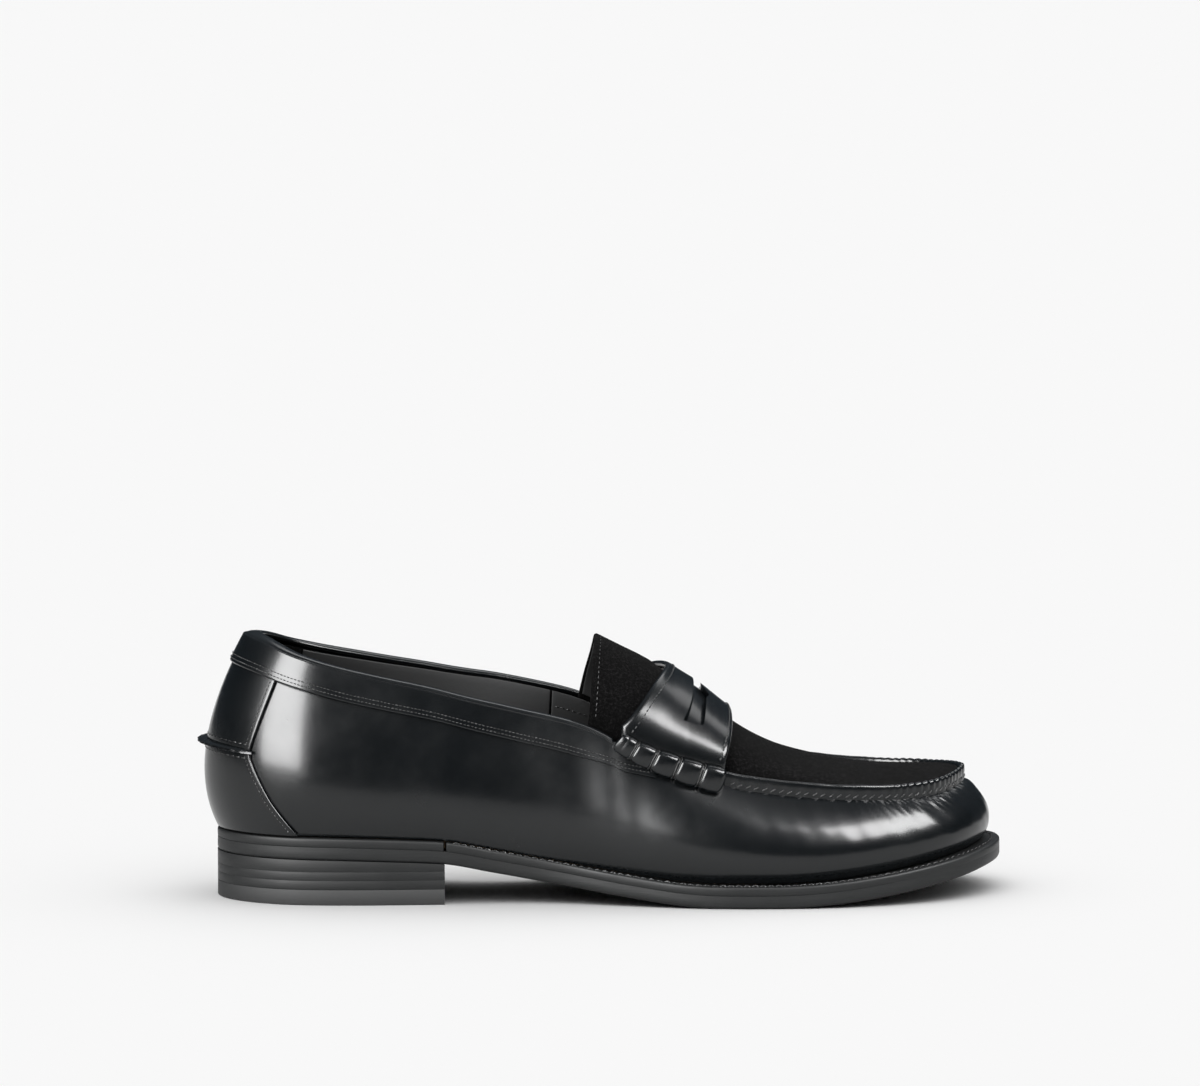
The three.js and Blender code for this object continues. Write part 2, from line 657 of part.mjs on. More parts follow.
// The tongue runs from its root under the strap to its free rear edge in the mouth of the shoe.
const tongueRear = 142.5 * gradeX;
const tongueCurl = 4.5;          // how far its lower corners run further back
const tongueSide = 2.4;          // gap between the tongue and the lining beside it
const tongueRise = 0.9;          // share of the wall's height that its lower edges reach down to
const tongueDrop = 3;            // and how much higher than that they stay
function tongueSurface(u, w) {
  const x = lerp(hingeX, tongueRear - tongueCurl * w * w, u);
  const s = stationWhere(topX, x);
  const foot = (station) => {
    const point = topEdge(station).addScaledVector(outwardAt(station), -(liningInner + tongueSide));
    point.x = x;
    point.z = weltTop(footX(station)) + tongueRise * rise(station) + tongueDrop;
    return point;
  };
  const lateral = foot(s);
  const medial = foot(-s);
  const crown = new THREE.Vector3(x, (lateral.y + medial.y) / 2, crownZ(x));
  return arch(lateral, medial, crown, w);
}

function buildTongue() {
  const steps = [1 / 7, 1 / 6];
  add('tongue', skin(tongueSurface, -plugThickness, 0, steps, [0, 1, -0.98, 0.98]), suede);
  const liningTop = -(plugThickness + seam);
  add('tongue_lining', skin(tongueSurface, liningTop - liningThickness, liningTop, steps,
    [0.08, 0.95, -0.9, 0.9]), liningLeather);
}

const strapRear = [151, 168];    // x of the strap's rear edge, at its ends and at its crown
const strapFore = [189.5, 192.3];  // the same for its front edge
const slotRear = [179.8, 173.6]; // x of the slot's rear edge, at the crown and at its ends
const slotFore = [184.2, 180.4]; // the same for its front edge
const slotSpan = 0.8;            // share of the half strap that the slot reaches down
const strapLiningInner = 2.5 * seam;
const strapInner = strapLiningInner + liningThickness + seam;
function strapSurface(u, w) {
  const rear = lerp(strapRear[1], strapRear[0], Math.abs(w) ** 1.6);
  const fore = lerp(strapFore[1], strapFore[0], Math.abs(w) ** 2);
  return saddle(gradeX * lerp(fore, rear, u), w);
}

// The slot in the strap, drawn from above: a long crescent across the crown.
function slotTool() {
  const lateral = strapSurface(0.5, -slotSpan).y;
  const medial = strapSurface(0.5, slotSpan).y;
  const middle = (lateral + medial) / 2;
  const reach = (medial - lateral) / 2;
  const shape = new THREE.Shape();
  const edgeX = ([crown, end], share) => gradeX * lerp(crown, end, share * share);
  const rearX = (share) => edgeX(slotRear, share);
  const foreX = (share) => edgeX(slotFore, share);
  shape.moveTo(rearX(1), middle - reach);
  [-0.5, 0, 0.5, 1].forEach((share) => shape.lineTo(rearX(share), middle + share * reach));
  [1, 0.5, 0, -0.5, -1].forEach((share) => shape.lineTo(foreX(share), middle + share * reach));
  const depth = 2 * (backHeight + heelHeight + soleThickness);
  return new THREE.ExtrudeGeometry(shape, { depth, bevelEnabled: false });
}

function buildStrap() {
  const steps = [1 / 5, 1 / 8];
  const strap = skin(strapSurface, strapInner, strapInner + strapThickness, steps, [0, 1, -1, 1]);
  add('saddle_strap', cut(strap, [slotTool()]), polished);
  add('strap_lining', skin(strapSurface, strapLiningInner, strapLiningInner + liningThickness, steps,
    [0.06, 0.94, -0.96, 0.96]), liningLeather);
}

const rollRear = 150;
const rollFore = 189;
const rollProud = 0.57 * rollRadius; // how far its middle stands out from the edge of the vamp
const rollLean = 0.08;           // extra height, as a share of its radius, over the leaning wall
function rollAt(sign, u) {
  const s = lerp(stationWhere(topX, gradeX * rollRear), stationWhere(topX, gradeX * rollFore), u);
  const centre = topEdge(sign * s).addScaledVector(outwardAt(sign * s), rollProud);
  centre.z += (1 + rollLean) * rollRadius + seam;
  return centre;
}

function buildRolls() {
  [['lateral', 1], ['medial', -1]].forEach(([side, sign]) => {
    add(`beefroll_${side}`, bar(lines(0, 1, 1 / 12), (u) => {
      const along = rollAt(sign, u + 0.01).sub(rollAt(sign, u - 0.01)).normalize();
      const across = new THREE.Vector3(0, 0, 1).cross(along).normalize();
      const up = along.clone().cross(across);
      return ringSection(rollAt(sign, u), across, up, rollRadius, rollRadius, 8);
    }), polished);
  });
}

buildHeel();
buildSole();
buildUpper();
buildLinings();
buildRidge();
buildPlug();
buildTongue();
buildStrap();
buildRolls();

// The origin is the middle of the bottom of the whole shoe.
const box = new THREE.Box3().setFromObject(shoe);
shoe.position.set(-(box.min.x + box.max.x) / 2, -(box.min.y + box.max.y) / 2, -box.min.z);

export default shoe;
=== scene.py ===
"""A black penny loafer: polished leather with a suede plug and tongue, a slotted saddle strap
between two beefrolls, hand-sewn seams, a welted sole and a stacked heel.
Shapes are worked out in millimetres in the shoe's own frame (heel at x = 0, toe along +x, outer
side -y, floor z = 0) and are moved into the frame's metres when a mesh is made."""

import math

import bpy
import numpy as np
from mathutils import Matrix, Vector


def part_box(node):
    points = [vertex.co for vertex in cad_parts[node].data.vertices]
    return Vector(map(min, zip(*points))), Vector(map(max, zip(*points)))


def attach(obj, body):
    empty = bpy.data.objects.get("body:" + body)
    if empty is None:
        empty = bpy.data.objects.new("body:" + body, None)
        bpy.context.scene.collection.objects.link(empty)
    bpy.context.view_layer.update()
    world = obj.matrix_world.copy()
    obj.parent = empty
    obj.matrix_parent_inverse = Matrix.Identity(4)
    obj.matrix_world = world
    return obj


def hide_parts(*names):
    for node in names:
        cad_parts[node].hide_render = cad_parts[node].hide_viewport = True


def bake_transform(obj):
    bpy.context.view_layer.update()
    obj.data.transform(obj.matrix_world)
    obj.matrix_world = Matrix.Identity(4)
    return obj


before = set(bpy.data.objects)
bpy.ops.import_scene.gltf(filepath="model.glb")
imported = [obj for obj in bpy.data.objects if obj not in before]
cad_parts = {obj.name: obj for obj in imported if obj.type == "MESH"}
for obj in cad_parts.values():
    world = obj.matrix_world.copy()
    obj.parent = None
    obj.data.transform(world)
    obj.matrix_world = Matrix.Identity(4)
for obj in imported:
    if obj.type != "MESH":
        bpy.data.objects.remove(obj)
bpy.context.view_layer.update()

MM = 0.001

# ---- Sizes, the same as the frame's ----
SOLE_LENGTH = 297.0
HEEL_HEIGHT = 17.4
TOE_SPRING = 12.3
HEEL_LENGTH = 84.5
OUTSOLE = 5.0
WELT = 3.0
SEAM = 0.3
SOLE = OUTSOLE + SEAM + WELT
TOP_PIECE = 6.0
LIFT = 3.3
UPPER = 1.4
LINING_OUT = -2.8
LINING_IN = -3.8
BEAD = 1.1
RIDGE_HEIGHT = 4.5
RIDGE_WIDTH = 2.2
ROLL = 3.7

# Stations of the last, toe to heel:
# foot x, lateral y, medial y, top x, lateral y, medial y, rise lateral, medial, fullness low, high
ROWS = np.array([
    (290.5, 5, 5, 283, 4, 4, 22.9, 22.9, 7, 8),
    (287, -10, 21, 274, -17, 23, 21.7, 22.7, 8, 8),
    (275, -26, 35, 261, -28, 33, 23.1, 24.4, 9, 8),
    (255, -38, 45, 245, -34, 38, 26.7, 28.1, 10, 8),
    (230, -45, 50.5, 222, -36.5, 40, 31.1, 33.4, 11, 8),
    (205, -46.5, 52, 194, -37, 39.5, 36, 39.2, 11, 8),
    (180, -44.5, 48, 172, -37, 38.5, 41.6, 46, 9, 6),
    (158, -39.5, 39, 154, -36.2, 36.5, 46.6, 51.5, 7, 2.5),
    (148, -37, 35, 145, -34, 34.5, 51.6, 56.8, 7, 2),
    (130, -33, 29, 132, -32, 33, 54, 59, 7, 1),
    (108, -31, 26, 108, -29.5, 31.5, 55.6, 60.5, 7, 0.8),
    (85, -32, 29, 80, -28, 29.5, 58, 61, 8, 2),
    (50, -32, 32, 50, -26, 26.5, 62.9, 64.9, 10, 3),
    (25, -28, 28, 31, -22, 22, 67.9, 68.7, 11, 5),
    (8, -16, 16, 19, -12, 12, 72.5, 72.7, 13, 9),
    (2, 0, 0, 13.6, 0, 0, 74.3, 74.3, 15.5, 9.6),
])
HEEL = len(ROWS) - 1
AROUND = 2 * HEEL
PITCH = [(0, 1), (40, 0.975), (75, 0.91), (84.5, 0.872), (103, 0.67), (128, 0.41), (153, 0.184),
         (172, 0.045), (184, 0)]
CROWN = [(138, 86), (142.5, 84.7), (162.3, 78.1), (170, 73.2), (180, 67.4), (190, 59.6), (197, 54.4),
         (206, 49.3), (215, 45.4), (238, 38.1), (261, 32.2), (275, 28.5)]
EXTENSION = [(0, 2), (85, 1.6), (118, 1.6), (150, 3.9), (185, 5.5), (297, 6.5)]
LOW_SHARE = 0.3
HIGH_SHARE = 0.68


# ---- Small mathematics, on arrays ----
def lerp(a, b, t):
    return a + (b - a) * t


def smooth(t):
    t = np.clip(t, 0, 1)
    return t * t * (3 - 2 * t)


def through(points):
    """A smooth curve through (x, y) points that never overshoots them."""
    x, y = np.array(points, float).T
    slope = np.diff(y) / np.diff(x)
    tangent = np.zeros_like(x)
    tangent[0], tangent[-1] = slope[0], slope[-1]
    product = slope[:-1] * slope[1:]
    total = slope[:-1] + slope[1:]
    tangent[1:-1] = np.where(product > 0, 2 * product / np.where(product > 0, total, 1), 0)

    def value(at):
        at = np.clip(np.asarray(at, float), x[0], x[-1])
        i = np.clip(np.searchsorted(x, at) - 1, 0, len(x) - 2)
        width = x[i + 1] - x[i]
        t = (at - x[i]) / width
        bend = (1 - t) * tangent[i] - t * tangent[i + 1]
        return lerp(y[i], y[i + 1], smooth(t)) + width * t * (1 - t) * bend

    return value


def column(lateral, medial):
    """A closed smooth curve through one value per station: 0 is the toe, > 0 the lateral side."""
    ring = np.concatenate([ROWS[:, lateral], ROWS[-2:0:-1, medial]])

    def value(s):
        s = np.asarray(s, float)
        i = np.floor(s).astype(int)
        t = s - i
        a, b, c, d = (ring[(i + k) % AROUND] for k in (-1, 0, 1, 2))
        return b + 0.5 * t * (c - a + t * (2 * a - 5 * b + 4 * c - d + t * (3 * (b - c) + d - a)))

    return value


foot_x, foot_y = column(0, 0), column(1, 2)
top_x, top_y = column(3, 3), column(4, 5)
rise = column(6, 7)
full_low, full_high = column(8, 8), column(9, 9)
pitch_at, crown_at, extension_at = through(PITCH), through(CROWN), through(EXTENSION)
TREAD_END = 208.0
# Depth of the collar band below the topline, by station: it narrows to its squared front end.
band_depth = through([(6.0, 4.6), (6.45, 5.4), (7.5, 9.3), (9.0, 12.0), (15.0, 12.0)])


def station_where(curve, x):
    """The lateral station where a column reaches x."""
    x = np.asarray(x, float)
    low, high = np.zeros_like(x), np.full_like(x, HEEL)
    for _ in range(40):
        middle = (low + high) / 2
        ahead = curve(middle) > x
        low = np.where(ahead, middle, low)
        high = np.where(ahead, high, middle)
    return low


def under_sole(x):
    spring = TOE_SPRING * (np.clip(x - TREAD_END, 0, None) / (SOLE_LENGTH - TREAD_END)) ** 1.7
    return np.where(x <= TREAD_END, HEEL_HEIGHT * pitch_at(x), spring)


def welt_top(x):
    return under_sole(x) + SOLE


def crown_z(x):
    return welt_top(x) + crown_at(x)


def stack(x, y, z):
    return np.stack(np.broadcast_arrays(x, y, z), axis=-1).astype(float)


def unit(vectors):
    return vectors / np.maximum(np.linalg.norm(vectors, axis=-1, keepdims=True), 1e-9)


def outward_at(s):
    dx = foot_x(s + 0.05) - foot_x(s - 0.05)
    dy = foot_y(s + 0.05) - foot_y(s - 0.05)
    return unit(stack(-dy, dx, 0 * dx))


def plan_point(s, distance):
    out = outward_at(s)
    return stack(foot_x(s), foot_y(s), 0 * s) + out * np.asarray(distance)[..., None]


def sole_edge(s):
    return plan_point(s, extension_at(foot_x(s)))


def top_edge(s):
    return stack(top_x(s), top_y(s), welt_top(foot_x(s)) + rise(s))


def wall(s, v):
    """The outer face of the wall at station s and share v of its height."""
    s, v = np.broadcast_arrays(np.asarray(s, float), np.asarray(v, float))
    foot = stack(foot_x(s), foot_y(s), welt_top(foot_x(s)) + SEAM)
    top = top_edge(s)
    out = outward_at(s)
    low = lerp(foot, top, LOW_SHARE) + out * full_low(s)[..., None]
    high = lerp(foot, top, HIGH_SHARE) + out * full_high(s)[..., None]
    v = v[..., None]
    w = 1 - v
    return w ** 3 * foot + 3 * w * w * v * low + 3 * w * v * v * high + v ** 3 * top


def normals(surface, u, v, step=0.01):
    du = surface(u + step, v) - surface(u - step, v)
    dv = surface(u, v + step) - surface(u, v - step)
    return unit(np.cross(dv, du))


def offset(surface, u, v, distance):
    u, v = np.broadcast_arrays(np.asarray(u, float), np.asarray(v, float))
    return surface(u, v) + normals(surface, u, v) * np.asarray(distance)[..., None]


def wall_length(s):
    return np.linalg.norm(top_edge(s) - wall(s, 0 * s), axis=-1)


def share_below_top(s, distance):
    return 1 - distance / (3 * (1 - HIGH_SHARE) * wall_length(s))


def path_lengths(points):
    return np.concatenate([[0], np.cumsum(np.linalg.norm(np.diff(points, axis=0), axis=1))])


# ---- Meshes ----
EDGE_ORIGIN = np.array(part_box("outsole")[0]) / MM
SHIFT = EDGE_ORIGIN - sole_edge(np.linspace(0, AROUND, 2401)).min(axis=0)
SHIFT[2] = 0


def make(name, points, faces, material, body, replaces=(), smooth_angle=38):
    """Makes a finished piece from points in the shoe's millimetres."""
    mesh = bpy.data.meshes.new(name)
    mesh.from_pydata(((np.asarray(points).reshape(-1, 3) + SHIFT) * MM).tolist(), [], faces)
    mesh.validate()
    piece = bpy.data.objects.new(name, mesh)
    bpy.context.scene.collection.objects.link(piece)
    mesh.materials.append(material)
    mesh.shade_smooth()
    mesh.set_sharp_from_angle(angle=math.radians(smooth_angle))
    volume = signed_volume(mesh)
    if volume < 0:
        mesh.flip_normals()
    if body:
        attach(piece, body)
    if replaces:
        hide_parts(*replaces)
    return piece


def signed_volume(mesh):
    mesh.calc_loop_triangles()
    points = np.empty(len(mesh.vertices) * 3)
    mesh.vertices.foreach_get("co", points)
    points = points.reshape(-1, 3)
    corners = np.empty(len(mesh.loop_triangles) * 3, int)
    mesh.loop_triangles.foreach_get("vertices", corners)
    a, b, c = points[corners.reshape(-1, 3)].transpose(1, 0, 2)
    return float(np.einsum("ij,ij->i", a, np.cross(b, c)).sum())


def grid_quads(nu, nv, start=0, wrap_u=False, wrap_v=False, flip=False):
    rows = nu if wrap_u else nu - 1
    columns = nv if wrap_v else nv - 1
    i, j = np.meshgrid(np.arange(rows), np.arange(columns), indexing="ij")
    i, j = i.ravel(), j.ravel()
    i2, j2 = (i + 1) % nu, (j + 1) % nv
    quads = np.stack([i * nv + j, i2 * nv + j, i2 * nv + j2, i * nv + j2], axis=1) + start
    return (quads[:, ::-1] if flip else quads).tolist()


def edged(a, b, count, length, radius, crowd=((0, 1), (0, 1))):
    """Parameters from a to b, closer together at both ends, and how thick the edge is at each.
    crowd maps shares of the points to shares of the length, to put more points where it matters."""
    near = np.array([0, 0.08, 0.25, 0.5, 0.75, 1.0]) * radius / length
    middle = lerp(near[-1], 1 - near[-1], np.interp(np.linspace(0, 1, count), *crowd))
    t = np.concatenate([near[:-1], middle, 1 - near[-2::-1]])
    reach = np.clip(np.minimum(t, 1 - t) * length / radius, 0, 1)
    return a + (b - a) * t, np.sqrt(np.clip(1 - (1 - reach) ** 2, 0.03, 1))


def sheet_points(surface, u_line, v_line, inner, outer):
    """The two faces of a sheet of leather with rounded edges."""
    (us, fu), (vs, fv) = u_line, v_line
    u, v = np.meshgrid(us, vs, indexing="ij")
    thick = fu[:, None] * fv[None, :]
    inside = inner(u) if callable(inner) else inner
    outside = outer(u) if callable(outer) else outer
    middle, half = (inside + outside) / 2, (outside - inside) / 2
    base, normal = surface(u, v), normals(surface, u, v)
    return (base + normal * (middle + half * thick)[..., None],
            base + normal * (middle - half * thick)[..., None])


def sheet(name, surface, u_line, v_line, inner, outer, material, body="shoe", replaces=()):
    """A closed sheet of leather on a surface, between two offsets."""
    outer_face, inner_face = sheet_points(surface, u_line, v_line, inner, outer)
    nu, nv = outer_face.shape[:2]
    points = np.concatenate([outer_face.reshape(-1, 3), inner_face.reshape(-1, 3)])
    faces = grid_quads(nu, nv) + grid_quads(nu, nv, nu * nv, flip=True)
    rim = ([i * nv for i in range(nu)] + [(nu - 1) * nv + j for j in range(1, nv)]
           + [i * nv + nv - 1 for i in range(nu - 2, -1, -1)] + [j for j in range(nv - 2, 0, -1)])
    count = len(rim)
    faces += [(rim[(k + 1) % count], rim[k], rim[k] + nu * nv, rim[(k + 1) % count] + nu * nv)
              for k in range(count)]
    return make(name, points, faces, material, body, replaces)


def sweep(name, sections, material, body="shoe", replaces=(), closed=False, smooth_angle=38):
    """A closed bar from a row of sections; its ends are capped unless it closes on itself."""
    n, m = sections.shape[:2]
    faces = grid_quads(n, m, wrap_u=closed, wrap_v=True)
    if not closed:
        faces.append(list(range(m)))
        faces.append(list(range((n - 1) * m, n * m))[::-1])
    return make(name, sections.reshape(-1, 3), faces, material, body, replaces, smooth_angle)


def strip_surface(low, high, base=wall):
    """The part of the wall between two shares of its height, as a surface with v from 0 to 1."""
    def surface(s, v):
        bottom = low(s) if callable(low) else low
        top = high(s) if callable(high) else high
        return base(s, lerp(bottom, top, v))
    return surface


# ---- Materials ----
def new_material(name):
    material = bpy.data.materials.new(name)
    material.use_nodes = True
    tree = material.node_tree
    shader = tree.nodes["Principled BSDF"]
    return material, tree, shader


def node(tree, kind, inputs=None, **settings):
    made = tree.nodes.new(kind)
    for key, value in settings.items():
        setattr(made, key, value)
    for key, value in (inputs or {}).items():
        if isinstance(value, bpy.types.NodeSocket):
            tree.links.new(value, made.inputs[key])
        else:
            made.inputs[key].default_value = value
    return made


def ramp(tree, factor, stops):
    made = node(tree, "ShaderNodeValToRGB", {"Fac": factor})
    elements = made.color_ramp.elements
    elements[0].position, elements[0].color = stops[0]
    elements[1].position, elements[1].color = stops[-1]
    for position, color in stops[1:-1]:
        elements.new(position).color = color
    return made.outputs["Color"]


def grey(value):
    return (value, value, value, 1)


def object_place(tree):
    return node(tree, "ShaderNodeTexCoord").outputs["Object"]


def noise(tree, place, scale, detail=4, roughness=0.5, distortion=0):
    made = node(tree, "ShaderNodeTexNoise", {"Vector": place, "Scale": scale, "Detail": detail,
                                             "Roughness": roughness, "Distortion": distortion})
    return made.outputs["Fac"]


def bumps(tree, shader, layers):
    """Stacks bump layers: each is (height, distance in millimetres, strength)."""
    normal = None
    for height, distance, strength in layers:
        inputs = {"Height": height, "Distance": distance * MM, "Strength": strength}
        if normal is not None:
            inputs["Normal"] = normal
        normal = node(tree, "ShaderNodeBump", inputs).outputs["Normal"]
    tree.links.new(normal, shader.inputs["Normal"])


def polished_leather(name="polished_leather"):
    """Brushed-off calf leather: near black, a waxed shine, fine pores and soft unevenness."""
    material, tree, shader = new_material(name)
    place = object_place(tree)
    cloud = noise(tree, place, 28, 3)
    tint = ramp(tree, cloud, [(0.3, (0.0034, 0.0050, 0.0062, 1)), (0.75, (0.0058, 0.0078, 0.0092, 1))])
    tree.links.new(tint, shader.inputs["Base Color"])
    smear = noise(tree, place, 60, 5, 0.6)
    gloss = ramp(tree, smear, [(0.3, grey(0.2)), (0.7, grey(0.28))])
    tree.links.new(gloss, shader.inputs["Roughness"])
    pores = node(tree, "ShaderNodeTexVoronoi", {"Vector": place, "Scale": 1700})
    grain = noise(tree, place, 1100, 3, 0.6)
    swell = noise(tree, place, 55, 2, 0.4)
    bumps(tree, shader, [(swell, 0.6, 0.3), (grain, 0.03, 0.3), (pores.outputs["Distance"], 0.02, 0.2)])
    shader.inputs["Specular IOR Level"].default_value = 0.42
    shader.inputs["Coat Weight"].default_value = 0.15
    shader.inputs["Coat Roughness"].default_value = 0.13
    return material


def suede_leather(name="black_suede"):
    """Napped suede: soft, matt, with the mottling that a brush leaves."""
    material, tree, shader = new_material(name)
    place = object_place(tree)
    nap = noise(tree, place, 900, 6, 0.85)
    brush = noise(tree, place, 45, 4, 0.6, 0.6)
    fibre = ramp(tree, nap, [(0.38, (0.0008, 0.0008, 0.0009, 1)), (0.52, (0.0045, 0.0043, 0.0045, 1)),
                             (0.64, (0.022, 0.021, 0.0215, 1))])
    shade = ramp(tree, brush, [(0.3, grey(0.75)), (0.7, grey(1.35))])
    tree.links.new(mix_colours(tree, 1.0, fibre, shade, "MULTIPLY"), shader.inputs["Base Color"])
    bumps(tree, shader, [(brush, 0.5, 0.3), (nap, 0.35, 0.9)])
    shader.inputs["Roughness"].default_value = 0.95
    shader.inputs["Specular IOR Level"].default_value = 0.04
    shader.inputs["Sheen Weight"].default_value = 0.03
    shader.inputs["Sheen Roughness"].default_value = 0.5
    return material


def mix_colours(tree, factor, first, second, blend="MIX"):
    made = node(tree, "ShaderNodeMix", data_type="RGBA", blend_type=blend)
    ends = [made.inputs[0]] + [socket for socket in made.inputs if socket.type == "RGBA"]
    for socket, value in zip(ends, (factor, first, second)):
        if isinstance(value, bpy.types.NodeSocket):
            tree.links.new(value, socket)
        else:
            socket.default_value = value
    return next(socket for socket in made.outputs if socket.type == "RGBA")


def lining_leather(name="lining_leather"):
    material, tree, shader = new_material(name)
    place = object_place(tree)
    cloud = noise(tree, place, 40, 4)
    tint = ramp(tree, cloud, [(0.3, (0.010, 0.0108, 0.0115, 1)), (0.7, (0.017, 0.018, 0.019, 1))])
    tree.links.new(tint, shader.inputs["Base Color"])
    grain = noise(tree, place, 700, 4, 0.6)
    bumps(tree, shader, [(grain, 0.12, 0.5)])
    shader.inputs["Roughness"].default_value = 0.62
    return material


def edge_leather(name="edge_leather"):
    """The inked and burnished edge of stacked leather, with fine lines along its layers."""
    material, tree, shader = new_material(name)
    place = object_place(tree)
    flat = node(tree, "ShaderNodeMapping", {"Vector": place, "Scale": (1, 1, 26)})
    lines = noise(tree, flat.outputs["Vector"], 70, 6, 0.65)
    cloud = noise(tree, place, 35, 3)
    tint = ramp(tree, lines, [(0.3, (0.021, 0.0225, 0.023, 1)), (0.75, (0.029, 0.0308, 0.0315, 1))])
    tree.links.new(tint, shader.inputs["Base Color"])
    gloss = ramp(tree, cloud, [(0.3, grey(0.42)), (0.7, grey(0.56))])
    tree.links.new(gloss, shader.inputs["Roughness"])
    bumps(tree, shader, [(lines, 0.08, 0.4), (noise(tree, place, 500, 3), 0.05, 0.3)])
    shader.inputs["Specular IOR Level"].default_value = 0.3
    return material


def sole_rubber(name="sole_rubber"):
    material, tree, shader = new_material(name)
    place = object_place(tree)
    cloud = noise(tree, place, 120, 5, 0.6)
    tint = ramp(tree, cloud, [(0.3, (0.021, 0.0223, 0.0228, 1)), (0.7, (0.028, 0.0296, 0.0303, 1))])
    tree.links.new(tint, shader.inputs["Base Color"])
    bumps(tree, shader, [(noise(tree, place, 800, 3), 0.08, 0.4)])
    shader.inputs["Roughness"].default_value = 0.68
    return material


def thread(name="waxed_thread", value=0.02):
    """Twisted, waxed thread: fine slanting strands."""
    material, tree, shader = new_material(name)
    place = object_place(tree)
    strands = node(tree, "ShaderNodeTexWave", {"Vector": place, "Scale": 900, "Distortion": 2.0},
                   bands_direction="DIAGONAL")
    tint = ramp(tree, strands.outputs["Fac"], [(0.0, grey(value * 0.5)), (1.0, grey(value * 1.8))])
    tree.links.new(tint, shader.inputs["Base Color"])
    bumps(tree, shader, [(strands.outputs["Fac"], 0.08, 0.5)])
    shader.inputs["Roughness"].default_value = 0.32
    return material


def inner_board(name, dark, light, scale, roughness=0.85, metallic=0.0):
    """Board, cork, steel and brass inside the shoe."""
    material, tree, shader = new_material(name)
    place = object_place(tree)
    speck = noise(tree, place, scale, 6, 0.7)
    tree.links.new(ramp(tree, speck, [(0.35, dark), (0.65, light)]), shader.inputs["Base Color"])
    bumps(tree, shader, [(speck, 0.2, 0.5)])
    shader.inputs["Roughness"].default_value = roughness
    shader.inputs["Metallic"].default_value = metallic
    return material


LEATHER = polished_leather()
SUEDE = suede_leather()
LINING = lining_leather()
EDGE = edge_leather()
RUBBER = sole_rubber()
THREAD = thread()
BOARD_LOOK = ((0.16, 0.10, 0.055, 1), (0.28, 0.19, 0.11, 1), 400)

# ---- Camera and light ----
AZIMUTH = math.radians(-3.4)
ELEVATION = math.radians(7.8)
LENS = 250.0
SENSOR = 36.0
VIEW_WIDTH = 454.373             # millimetres across the whole view, where the shoe stands
TARGET_HEIGHT = 0.0473
VIEW_SHIFT = (-0.0018, 0.1853)   # the shoe stands low in the view


def build_camera():
    back = np.array([math.sin(AZIMUTH) * math.cos(ELEVATION), -math.cos(AZIMUTH) * math.cos(ELEVATION),
                     math.sin(ELEVATION)])
    distance = LENS / SENSOR * VIEW_WIDTH * MM
    camera_data = bpy.data.cameras.new("camera")
    camera_data.lens = LENS
    camera_data.sensor_width = SENSOR
    camera_data.shift_x, camera_data.shift_y = VIEW_SHIFT
    camera_data.clip_end = 50
    camera = bpy.data.objects.new("camera", camera_data)
    bpy.context.scene.collection.objects.link(camera)
    camera.location = back * distance + np.array([0, 0, TARGET_HEIGHT])
    camera.rotation_euler = (math.pi / 2 - ELEVATION, 0, AZIMUTH)
    bpy.context.scene.camera = camera


def softbox(name, place, target, size, radiance):
    """A soft lamp that is seen only in the polish; the sky lights everything else evenly."""
    data = bpy.data.lights.new(name, "AREA")
    data.shape = "RECTANGLE"
    data.size, data.size_y = size
    data.energy = radiance * math.pi * size[0] * size[1]
    lamp = bpy.data.objects.new(name, data)
    bpy.context.scene.collection.objects.link(lamp)
    lamp.location = place
    lamp.rotation_euler = (Vector(target) - Vector(place)).to_track_quat("-Z", "Y").to_euler()
    lamp.visible_diffuse = False


FLOOR_SHADE = 0.9
BACKDROP = 0.939


